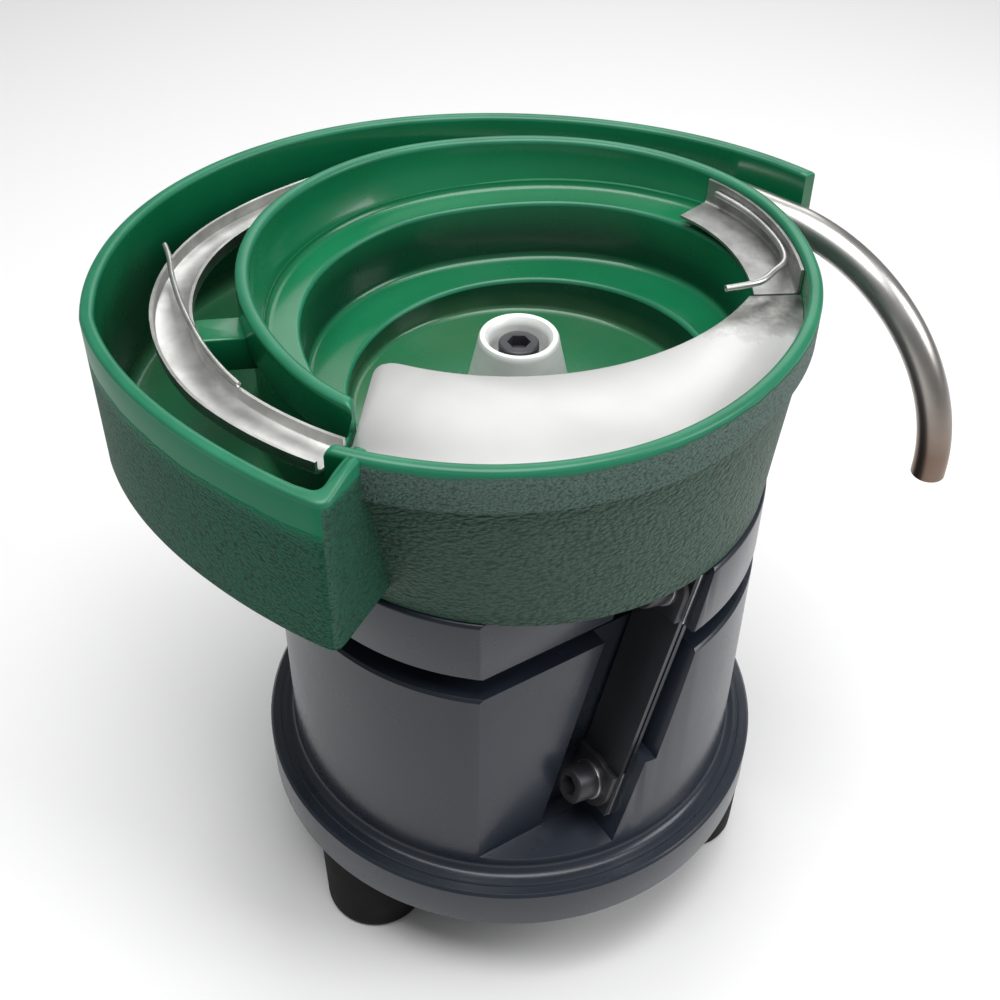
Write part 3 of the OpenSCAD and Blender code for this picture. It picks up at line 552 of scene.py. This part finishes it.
# name, groove colour (painted shade) and cell colour, cells per metre, relief in m, levels z0
# and z1, smooth colour, shine
LEATHERS = {
    "band": ("bowl_band", (0.038, 0.098, 0.078), (0.130, 0.270, 0.215), 950, 0.0036,
             248.2, 249.5, (0.020, 0.19, 0.105)),
    "body": ("bowl_body", (0.020, 0.070, 0.046), (0.052, 0.158, 0.104), 560, 0.0048,
             300, 301, (0.02, 0.3, 0.16)),
    "pan": ("pan_outside", (0.007, 0.082, 0.048), (0.018, 0.200, 0.112), 820, 0.0042,
            231, 237, (0.005, 0.175, 0.082), 0.1),
    "end": ("pan_end", (0.012, 0.082, 0.051), (0.030, 0.190, 0.115), 820, 0.0042,
            244.5, 247.5, (0.018, 0.18, 0.10), 0.3),
}
EVEN, DRAWN, LAYERS, WOUND = (1, 1, 1), (1, 1, 0.3), (1, 40, 1), (1, 1, 30)
# name, colour, roughness, stretch, patches per metre, spread of roughness, dark, bumps, metal
METALS = {
    "shelf": ("aged_stainless", (0.46, 0.46, 0.45), 0.46, EVEN, 120, 0.22, 0.55, 0.08, 0.9),
    "sheet": ("stainless_satin", (0.72, 0.72, 0.70), 0.38, EVEN, 90, 0.18, 0.62, 0.05),
    "hub": ("turned_aluminium", (0.86, 0.88, 0.86), 0.5, (1, 1, 6), 50, 0.1, 0.88, 0.03, 0.4),
    "zinc": ("zinc_steel", (0.50, 0.51, 0.53), 0.38, EVEN, 70, 0.1, 0.85, 0.03),
    "black": ("black_steel", (0.055, 0.055, 0.062), 0.42, EVEN, 70, 0.12, 0.7, 0.05, 0.6),
    "spring": ("spring_steel", (0.075, 0.078, 0.088), 0.34, DRAWN, 50, 0.12, 0.7, 0.04, 0.7),
    "lams": ("laminated_steel", (0.26, 0.27, 0.28), 0.5, LAYERS, 60, 0.12, 0.6, 0.1),
    "bobbin": ("bobbin_plastic", (0.75, 0.72, 0.62), 0.6, EVEN, 30, 0.1, 0.93, 0.02, 0.0),
    "copper": ("copper_winding", (0.62, 0.26, 0.11), 0.3, WOUND, 80, 0.1, 0.75, 0.1),
    "gland": ("gland_plastic", (0.02, 0.02, 0.02), 0.55, EVEN, 60, 0.1, 0.8, 0.03, 0.0),
}
MAT = {"smooth": make_smooth_green(), "rim": make_rim_highlight_green(), "paint": make_paint(),
       "rubber": make_rubber(), "plate": make_plate(), "tube": make_tube()}
MAT.update({key: make_leather(*row) for key, row in LEATHERS.items()})
MAT.update({key: make_metal(*row) for key, row in METALS.items()})
BOWL_MATS = ["smooth", "rim", "band", "body", "pan", "end"]
SMOOTH, RIM_HIGHLIGHT, BAND, BODY, PAN, END = range(len(BOWL_MATS))


# ------------------------------------------------------------------ bowl
# section of the shell from its bore outwards, under the floor and up the outside of the body
UNDER = [(4.2, BOWL_Z), (24, BOWL_Z), (25, BOWL_Z + 1), (25, 192.6), (75.5, 192.6),
         (79.5, 182.6), (79.8, BOWL_Z)]
FOOT = [(83.0, BOWL_Z), (83.7, BOWL_Z + 0.3), (84.0, BOWL_Z + 1.0)]
SIDE_LEVELS = (187, 194.5, 202, 210, 220, 228, 232, 234.0)
FIRST_SIDE = len(UNDER) + len(FOOT)
BODY_FACES = FIRST_SIDE + len(SIDE_LEVELS)
BAND_FACES, RIM_FACES = 7, 9
RIM_ROUND, RIM_SPREAD = 1.8, 1.6      # round of the wall's ends, and mm to each degree there
WALL_LEAN, LEAN_RUN = 2.1, 4          # degrees by which the inner end leans, and its run


def stations():
    """Round the bowl clockwise from the wall's inner end, with close steps at both its ends."""
    ends = (0, 0.06, 0.3, 0.6, 0.9, 1.3, 1.8)
    out = [WALL_START - k for k in ends]
    out += [WALL_START - 3 - 2 * k for k in range(175)]
    out += [WALL_END + k for k in reversed(ends)]
    return out + [WALL_END - k for k in (1.2, 2.5, 3.8)]


def rim_top(a):
    """Level of the main wall's top, rounded down at both ends; SEAT_Z at the ends themselves."""
    t = (WALL_START - a) % 360
    d = min(t, WALL_RUN - t) * RIM_SPREAD
    if d <= 0.001:
        return SEAT_Z
    k = min(1.0, d / RIM_ROUND)
    return RIM_Z - RIM_ROUND * (1 - math.sqrt(max(0.0, 1 - (1 - k) ** 2)))


def shell_section(a):
    w, top = wall_r(a), rim_top(a)
    x = w - WALL_T
    side = [(body_r(a, z), z) for z in SIDE_LEVELS]
    lip = [(w - BAND_STEP + 0.15, 234.4), (w - 1.2, 234.75), (w - 0.35, 235.1), (w, 235.9)]
    r = 1.7
    crown = [(w, top - r - 1)]
    crown += [(w - r + r * c, top - r + r * s) for s, c in quarter(5)]
    crown += [(x + r - r * s, top - r + r * c) for s, c in quarter(5)]
    crown += [(x, min(top - r - 0.6, BAND_Z + 2)), (chamber_r(a, BAND_Z - 0.3), BAND_Z - 0.3)]
    inside = [(chamber_r(a, z), z) for z in (228, 218, 208)]
    f = 4.0
    foot_r = chamber_r(a, FLOOR_Z + f)
    inside += [(foot_r - f + f * c, FLOOR_Z + f - f * s) for s, c in quarter(5)]
    floor = [(60, FLOOR_Z), (40, FLOOR_Z), (22, FLOOR_Z), (4.2, FLOOR_Z)]
    lean = WALL_LEAN * max(0.0, 1 - ((WALL_START - a) % 360) / LEAN_RUN) / WALL_T
    return [polar(r, a + (lean * max(0.0, r - x) if z > SEAT_Z + 0.01 else 0), z)
            for r, z in UNDER + FOOT + side + lip + crown + inside + floor]


def build_shell(bm):
    azimuths = stations()

    def pick(i, j):
        if FIRST_SIDE < j < BODY_FACES + BAND_FACES:
            if PAN_OPEN < azimuths[i] % 360 < PAN_CORNER - 1:
                return SMOOTH
        if j < BODY_FACES:
            return BODY
        if j < BODY_FACES + BAND_FACES:
            return BAND
        # the wall's crown takes the rim's lighter green, a painted highlight
        return RIM_HIGHLIGHT if j < BODY_FACES + BAND_FACES + RIM_FACES else SMOOTH
    sweep(bm, [shell_section(a) for a in azimuths], loop=True, mat=pick)


JOIN_FROM, JOIN_TO = 284, 296         # where the first turn's outer side moves to the wall
NOSE_HIGHLIGHT_FACES = range(7, 10)             # faces round the track's inner edge, in the rim's lighter green: a painted highlight
SINK = 1.2                            # how far the track reaches into what it stands on


def track_rings(t0, t1, second):
    """Sections of the track from t0 to t1 degrees; the second turn reaches out to the wall."""
    rings = []
    for t in range(t0, t1 + 1, 3):
        a, z, ri = TRACK_START - t, track_z(t), track_in_r(t)
        zb = FLOOR_Z if t < 360 else track_z(t - 360)
        if second or t > JOIN_TO:
            w = chamber_r(a, z)
        elif t < JOIN_FROM:
            w = track_in_r(t + 360)
        else:
            w = track_in_r(JOIN_FROM + 360)
            w += (chamber_r(a, z) - w) * (t - JOIN_FROM) / (JOIN_TO - JOIN_FROM)
        h = max(0.05, z - zb)
        f, e, g = min(2.2, h * 0.45), min(1.5, h * 0.45), 2.6
        pts = [(ri + 6, zb - SINK), (ri - f, zb - 0.6), (ri - f, zb)]
        pts += [(ri - f + f * s, zb + f - f * c) for s, c in quarter(4)[1:]]
        pts += [(ri + e - e * c, z - e + e * s) for s, c in quarter(4)]
        pts += [(w - g, z)]
        pts += [(w - g + g * s, z + g - g * c) for s, c in quarter(4)[1:]]
        pts += [(w + SINK, z + g + 0.1), (min(w + SINK, body_r(a, zb - SINK) - 2), zb - SINK)]
        rings.append([polar(r, a, zz) for r, zz in pts])
    return rings


def track_mark(i, j):
    return RIM_HIGHLIGHT if j in NOSE_HIGHLIGHT_FACES else SMOOTH


def fillet(p, q, r, n):
    """The runs p and q joined by an arc of tangent length r where their lines cross."""
    ua, ub = (p[-1] - p[-2]).normalized(), (q[1] - q[0]).normalized()
    d = q[0] - p[-1]
    m = p[-1] + ua * ((d.x * ub.y - d.y * ub.x) / (ua.x * ub.y - ua.y * ub.x))
    near, room = 20, 0.3
    before = [v for v in p if (v - m).length > near or (v - m).dot(ua) < -r - room]
    after = [v for v in q if (v - m).length > near or (v - m).dot(ub) > r + room]
    return before + bezier(m - ua * r, m, m + ub * r, n) + after


PAN_ROOT = 94.0                       # radius at which the pan's end wall starts
END_RISE = 2.6                        # how far its top rises towards the bowl
PAN_ROUND = 1.5


def pan_wall(bm):
    """Pan wall with its end wall as one rounded strip."""
    angles = [PAN_OPEN + k * (PAN_CORNER - PAN_OPEN) / 140 for k in range(141)]
    u, n = polar(1, PAN_CORNER), polar(1, PAN_CORNER - 90)
    far_r = pan_r(PAN_CORNER)
    end = [far_r - (far_r - PAN_ROOT) * k / 8 for k in range(9)]
    path = fillet([polar(pan_r(a), a) for a in angles], [u * r for r in end], 4.4, 8)
    inside = fillet([polar(pan_r(a) - WALL_T, a) for a in angles[:-2]],
                    [u * r + n * WALL_T for r in end[2:]], 3.4, 6)
    root = path[-1] + n * WALL_T / 2

    def rise(d):
        """Share of the rise at the distance d from the root."""
        return ease((24 - d) / 16)

    def shift(p, z):
        """Lift the end wall's top near its root, and sink the root into the body."""
        d = (p - root).length
        up = END_RISE * ease((z - PAN_RIM_Z + 12) / 12) * rise(d) if abs(p.dot(n)) < 9 else 0
        p = p + lift(up)
        if d > 6:
            return p
        flat = Vector((p.x, p.y, 0))
        want = min(body_r(PAN_CORNER, z), wall_r(PAN_CORNER) - BAND_STEP) - 2
        return p - flat.normalized() * (flat.length - want) * ease((6 - d) / 2.5)

    def mark(c):
        """Material of the face with the centre c."""
        a = math.degrees(math.atan2(c.y, c.x)) % 360
        across, flat = c.dot(n), Vector((c.x, c.y, 0))
        up = END_RISE * rise((flat - root).length) * (abs(across) < 9)
        # the pan's rounded top takes the rim's lighter green, a painted highlight
        if c.z > PAN_RIM_Z - PAN_ROUND + up:
            return RIM_HIGHLIGHT
        outside = math.hypot(c.x, c.y) > pan_r(min(a, PAN_CORNER)) - 1.6
        if c.z < PAN_Z + PAN_ROUND or (outside and (a < 200 or across > 1.6)):
            return PAN
        return END if across < 1.6 and a > 200 else SMOOTH
    start = len(bm.faces)
    slab(bm, path + inside[::-1], PAN_Z, PAN_RIM_Z, PAN_ROUND, 4, shift)
    bm.faces.ensure_lookup_table()
    for face in bm.faces[start:]:
        face.material_index = mark(face.calc_center_median() / MM)


def pan_floor(bm):
    """Pan floor with a fillet at each side."""
    rings = []
    f, g = 4.5, 4.0
    for i in range(105):
        a = PAN_OPEN + 0.1 + i * (PAN_CORNER - 1.5 - PAN_OPEN) / 104
        p = pan_r(a) - WALL_T
        b0, b1 = body_r(a, PAN_Z), body_r(a, PAN_FLOOR_Z + g)
        pts = [(b0 - 1.5, PAN_Z + 0.05), (p + 3.2, PAN_Z + 0.05), (p + 3.4, PAN_FLOOR_Z + f),
               (p, PAN_FLOOR_Z + f)]
        pts += [(p - f + f * c, PAN_FLOOR_Z + f - f * s) for s, c in quarter(5)[1:]]
        pts += [(b1 + g - g * s, PAN_FLOOR_Z + g - g * c) for s, c in quarter(5)]
        pts += [(b1 - 1.5, PAN_FLOOR_Z + g + 0.1)]
        rings.append([polar(r, a, z) for r, z in pts])
    sweep(bm, rings, mat=lambda i, j: PAN if j == 0 else SMOOTH)


LUG_AT, LUG_TOP_AT = 189.0, 185       # the lug's azimuth, and where its top meets the exit track
LUG_HALF, LUG_TALL = 6, 12


def ledge_and_lug(bm):
    """Ledge under the front plate, and the lug under the exit track."""
    rings = []
    for i in range(44):
        a = WALL_END + 1.5 + i * 3
        w = wall_r(a) - WALL_T
        pts = [(w + 1, SEAT_Z - 5), (w + 1, SEAT_Z), (w - 5.4, SEAT_Z), (w - 6, SEAT_Z - 0.6),
               (w - 6, SEAT_Z - 4.4), (w - 5.4, SEAT_Z - 5)]
        rings.append([polar(r, a, z) for r, z in pts])
    sweep(bm, rings)
    top = exit_z(LUG_TOP_AT) - 0.1
    r0, r1 = wall_r(LUG_AT) - 5, exit_r(LUG_AT) + 2
    u, v = polar(1, LUG_AT), polar(1, LUG_AT + 90)
    block = [(r0, -LUG_HALF), (r1, -LUG_HALF), (r1, LUG_HALF), (r0, LUG_HALF)]
    plan = [u * p[0] + v * p[1] for p in rounded(block, [0, 2.5, 2.5, 0], 4)]
    slab(bm, plan, top - LUG_TALL, top, 0.8, 3)


bm = bmesh.new()
build_shell(bm)
sweep(bm, track_rings(0, 366, False), mat=track_mark)
sweep(bm, track_rings(356, 650, True), mat=track_mark)
pan_wall(bm)
pan_floor(bm)
ledge_and_lug(bm)
finish_mesh("bowl_visual", bm, [MAT[k] for k in BOWL_MATS], "bowl_unit", ["bowl"],
            50)

# ------------------------------------------------------------------ hub, tooling and wires
# hub cone, with a round cup in its top
HUB_PROFILE = [(4.4, 0), (20.5, 0), (19.0, 0.8), (18.7, 2), (13.2, 27.4), (13.0, 28.6),
               (12.5, 29.3), (11.9, 29.4), (11.0, 29.2), (10.4, 28.4), (10.0, 27.6), (9.6, 26.5),
               (9.5, 17.6), (9.3, 17.4), (4.4, 17.4)]
bm = bmesh.new()
lathe(bm, [(r, FLOOR_Z + z) for r, z in HUB_PROFILE], 128)
finish_mesh("hub_visual", bm, MAT["hub"], "bowl_unit", ["hub_cone"])

SHEET_T, PLATE_T, SHEET_GAP = 1, 1.5, 0.2


def inner_r(a):
    """Radius to which the tooling reaches inside the wall."""
    return wall_r(a) - WALL_T - SHEET_GAP


# track shelf: floor, back along the wall, and the bend between them
SHELF_FROM, SHELF_TO, SHELF_TALL, SHELF_BEND = 5, 45, 9.5, 2.2
bm = bmesh.new()
rings = []
for a in range(SHELF_FROM, SHELF_TO + 1):
    w = inner_r(a)
    front, top = w - TRACK_W - 0.8, SEAT_Z + SHELF_TALL
    b, c1 = SHELF_BEND, SHELF_BEND - SHEET_T
    outer = [(w - b + b * s, SEAT_Z + b - b * c) for s, c in quarter(4)]
    inner = [(w - SHEET_T - c1 * (1 - s), SEAT_Z + SHEET_T + c1 * (1 - c)) for s, c in quarter(4)]
    pts = [(front, SEAT_Z)] + outer + [(w, top), (w - SHEET_T, top)] + inner[::-1]
    rings.append([polar(r, a, z) for r, z in pts + [(front, SEAT_Z + SHEET_T)]])
sweep(bm, rings)
finish_mesh("track_shelf_visual", bm, MAT["shelf"], "bowl_unit", ["track_shelf"])

# front plate: out to the wall, a bent left corner, and a round inner edge about ARC
PLATE_FROM = 4
ARC, ARC_R = Vector((-5.0, 50.0, 0)), 89.5
CORNER = [Vector((-43.2, -40.5, 0)), Vector((-42.5, -31.6, 0)), Vector((-34.0, -34.7, 0))]


def on_arc(ang):
    return Vector((ARC.x + ARC_R * math.cos(rad(ang)), ARC.y + ARC_R * math.sin(rad(ang)), 0))


def arc_angle(p):
    return math.degrees(math.atan2(p.y - ARC.y, p.x - ARC.x))


def hit(p, q):
    """Point where the line from p through q enters the inner arc."""
    for k in range(2001):
        s = p + (q - p) * (k / 1000)
        if math.hypot(s.x - ARC.x, s.y - ARC.y) < ARC_R:
            return s
    return q


bm = bmesh.new()
rim = [polar(inner_r(a), a) for a in range(PLATE_FROM, WALL_END, -2)]
left = [polar(94, WALL_END - 0.8), polar(86, WALL_END - 1.4)] + bezier(*CORNER, 9)[:-1]
ang0 = arc_angle(CORNER[-1])
ang1 = arc_angle(hit(rim[0], polar(inner_r(0) - TRACK_W - 1, PLATE_FROM)))
inner = [on_arc(ang0 + (ang1 - ang0) * k / 48) for k in range(49)]
slab(bm, rim + left + inner, SEAT_Z, SEAT_Z + PLATE_T, 0.3, 2)
finish_mesh("front_plate_visual", bm, MAT["plate"], "bowl_unit", ["front_plate"])

# exit track: folded channel with round bends
bm = bmesh.new()
half, side = EXIT_W / 2, 5.0
outer = [(half, side), (half, 1.6), (half - 0.4, 0.7), (half - 1.4, 0.1), (half - 2.2, 0)]
outer += [(-p, q) for p, q in outer[::-1]]
inner = [(-(half - 1), side), (-(half - 1), 2.2), (-(half - 1.4), 1.4), (-(half - 2.4), 1.0),
         (0, 1.0)]
inner += [(-p, q) for p, q in inner[:-1][::-1]]
sweep(bm, [[polar(exit_r(a) + p, a, exit_z(a) + q) for p, q in outer + inner]
           for a in range(EXIT_START, EXIT_STOP - 1, -2)])
finish_mesh("exit_track_visual", bm, MAT["sheet"], "bowl_unit", ["exit_track"])

# outlet tube: straight from the exit track's end, a quarter bend, and a short drop
TUBE_R, TUBE_BORE_R, TUBE_RUN, TUBE_BEND_R, TUBE_DROP = 6, 5, 29.5, 72, 3
TUBE_RISE, WELD_GAP = 4.7, 0.1        # middle above the exit track's floor, and gap to its end
d = polar(1, EXIT_STOP - 90)
p0 = polar(exit_r(EXIT_STOP), EXIT_STOP, SEAT_Z - EXIT_FALL + TUBE_RISE) + d * WELD_GAP
path = [p0 + d * TUBE_RUN * k / 6 for k in range(6)]
path += [p0 + d * TUBE_RUN + d * TUBE_BEND_R * math.sin(rad(a))
         - lift(TUBE_BEND_R * (1 - math.cos(rad(a)))) for a in range(0, 91, 2)]
last = path[-1]
path += [last - lift(TUBE_DROP * k / 3) for k in (1, 2, 3)]
bm = bmesh.new()
tube(bm, path, TUBE_R, 48, TUBE_BORE_R)
finish_mesh("outlet_tube_visual", bm, MAT["tube"], "bowl_unit", ["outlet_tube"])

# wiper: along the shelf's back, then out over the bowl
WIPER_R, WIPER_RISE, GUIDE_R, GUIDE_RISE = 1.1, 6.5, 0.9, 6.0
wiper = [polar(inner_r(a) - 2.2, a) for a in (42, 34, 26, 18)]
wiper += [polar(inner_r(12) - 3.7, 12), polar(inner_r(8) - 8.7, 8), polar(75, 4), polar(64, 1)]
bm = bmesh.new()
tube(bm, curve_points([p + lift(SEAT_Z + WIPER_RISE) for p in wiper]), WIPER_R, 16)
finish_mesh("wiper_wire_visual", bm, MAT["sheet"], "bowl_unit", ["wiper_wire"])

# guide: (azimuth, radius, extra height) across the exit track
guide = [(213, exit_r(213) - 6, 0), (207, 97, 0.6), (199, 99.3, 1), (188, 103.4, 1.2),
         (178, 109, 0.6), (171.5, exit_r(171.5) + 6, 0), (168, 118, 0.2)]
guide = [polar(r, a, exit_z(a) + GUIDE_RISE + extra) for a, r, extra in guide]
bm = bmesh.new()
tube(bm, curve_points(guide), GUIDE_R, 14)
finish_mesh("guide_wire_visual", bm, MAT["sheet"], "bowl_unit", ["guide_wire"])

# ------------------------------------------------------------------ rubber feet
FEET_R = 75
FOOT_PROFILE = [(3.4, 0.3), (3.9, 0), (16.6, 0), (17.9, 0.3), (18.8, 1.0), (19.2, 2.2),
                (19.32, 4.0), (19.88, 36.2), (19.5, 36.85), (18.9, 37), (4.05, 37), (4.05, 26),
                (3.4, 12)]
for name, a in (("foot_front", -133), ("foot_right", -13), ("foot_back", 107)):
    bm = bmesh.new()
    lathe(bm, FOOT_PROFILE, 72, polar(FEET_R, a))
    finish_mesh(name + "_visual", bm, MAT["rubber"], "drive_base", [name])


# ------------------------------------------------------------------ CAD pieces carried over
def cad_mesh(node):
    """The node's solid, with its flat faces joined up."""
    bm = bmesh.new()
    bm.from_mesh(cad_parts[node].data)
    bmesh.ops.remove_doubles(bm, verts=bm.verts, dist=2e-6)
    bmesh.ops.dissolve_limit(bm, angle_limit=rad(0.6), verts=bm.verts, edges=bm.edges)
    return bm


def ease_edges(node, mat, body, width):
    """Carry a CAD piece over with its sharp edges rounded by width."""
    bm = cad_mesh(node)
    sharp = [e for e in bm.edges if len(e.link_faces) == 2 and e.calc_face_angle(0) > rad(32)]
    bmesh.ops.bevel(bm, geom=sharp, offset=width * MM, affect="EDGES", segments=2, profile=0.6,
                    material=-1, clamp_overlap=True, loop_slide=True)
    finish_mesh(node + "_visual", bm, mat, body, [node], 28)


BASE = "drive_base"
TOP = "bowl_unit"
for node, mat, body, slot, width in (
        ("base_casting", "paint", BASE, "drive_paint", 0.7),
        ("upper_casting", "paint", TOP, "drive_paint", 0.7),
        ("foot_studs", "zinc", BASE, "zinc_steel", 0.3),
        ("lower_spring_spacers", "zinc", BASE, "zinc_steel", 0.1),
        ("upper_spring_spacers", "zinc", TOP, "zinc_steel", 0.1),
        ("lower_clamps", "black", BASE, "black_steel", 0.4),
        ("upper_clamps", "black", TOP, "black_steel", 0.4),
        ("lower_lock_washers", "zinc", BASE, "zinc_steel", 0.2),
        ("upper_lock_washers", "zinc", TOP, "zinc_steel", 0.2),
        ("lower_spring_bolts", "black", BASE, "black_steel", 0.25),
        ("upper_spring_bolts", "black", TOP, "black_steel", 0.25),
        ("magnet_bracket", "zinc", BASE, "zinc_steel", 0.4),
        ("magnet_core", "lams", BASE, "laminated_steel", 0.2),
        ("magnet_bobbin", "bobbin", BASE, "bobbin_plastic", 0.2),
        ("magnet_winding", "copper", BASE, "copper_winding", 1.2),
        ("magnet_screws", "black", BASE, "black_steel", 0.2),
        ("cable_gland", "gland", BASE, "gland_plastic", 0.4),
        ("armature_plate", "zinc", TOP, "zinc_steel", 0.4),
        ("armature", "lams", TOP, "laminated_steel", 0.2),
        ("armature_screws", "black", TOP, "black_steel", 0.2),
        ("bowl_bolt", "black", TOP, "black_steel", 0.25),
        ("bowl_washer", "zinc", TOP, "zinc_steel", 0.2)):
    ease_edges(node, MAT[mat], body, width)

# leaf springs, clamped to the base below and to the bowl's casting above: carried over from the
# CAD
SPRING_AT, SPRING_R, SPRING_Z, SPRING_LEAN, SPRING_UP = -57, 70, 112, 15, 14
for k, name in enumerate(("leaf_spring_front", "leaf_spring_back", "leaf_spring_left")):
    ob = finish_mesh(name + "_visual", cad_mesh(name), MAT["spring"], None, [name], 28)
    a = SPRING_AT + 120 * k
    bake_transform(ob)

# ------------------------------------------------------------------ floor, light, camera
bm = bmesh.new()
bmesh.ops.create_grid(bm, x_segments=1, y_segments=1, size=6)
me = bpy.data.meshes.new("floor")
bm.to_mesh(me)
bm.free()
floor = bpy.data.objects.new("floor", me)
bpy.context.scene.collection.objects.link(floor)
me.materials.append(new_mat("floor_white", (0.86, 0.86, 0.86), 0.75)[0])

world = bpy.data.worlds.new("studio")
bpy.context.scene.world = world
world.use_nodes = True
bg = world.node_tree.nodes["Background"]
bg.inputs["Color"].default_value = (1, 1, 1, 1)
bg.inputs["Strength"].default_value = 0.22


def area(name, loc, aim, power, size, size_y):
    """Area light at loc that faces aim; lengths in metres, power in watts."""
    ld = bpy.data.lights.new(name, "AREA")
    ld.energy = power
    ld.shape = "RECTANGLE"
    ld.size = size
    ld.size_y = size_y
    ob = bpy.data.objects.new(name, ld)
    ob.location = loc
    ob.rotation_mode = "QUATERNION"
    ob.rotation_quaternion = (Vector(aim) - Vector(loc)).to_track_quat("-Z", "Y")
    bpy.context.scene.collection.objects.link(ob)


area("key", (-0.05, -0.12, 1.35), (0, 0, 0.18), 19, 1.0, 0.9)
area("side", (1.0, -0.25, 0.85), (0, 0, 0.2), 6, 0.5, 0.6)
area("back", (0.1, 1.0, 0.9), (0, 0, 0.2), 3, 0.8, 0.5)

# camera: it looks down at target from the distance dist, and leans by roll
SENSOR, LENS = 36, 50.436
el, roll, dist = rad(41.60084), rad(0.95), 494.0325
target = Vector((-5.22272, 0, 119.47187 + 37))
cam_data = bpy.data.cameras.new("camera")
cam = bpy.data.objects.new("camera", cam_data)
bpy.context.scene.collection.objects.link(cam)
bpy.context.scene.camera = cam
cam_data.sensor_width = SENSOR
cam_data.lens = LENS
back = Vector((0, -math.cos(el), math.sin(el)))
cam.location = (target + back * dist) * MM
right = Vector((1, 0, 0))
down = (-back).cross(right)
c, s = math.cos(roll), math.sin(roll)
img_right = c * right - s * down
img_down = s * right + c * down
cam.rotation_mode = "QUATERNION"
cam.rotation_quaternion = Matrix((img_right, -img_down, back)).transposed().to_quaternion()
cam_data.clip_start, cam_data.clip_end = 0.01, 30

bpy.context.scene.view_settings.view_transform = "Standard"
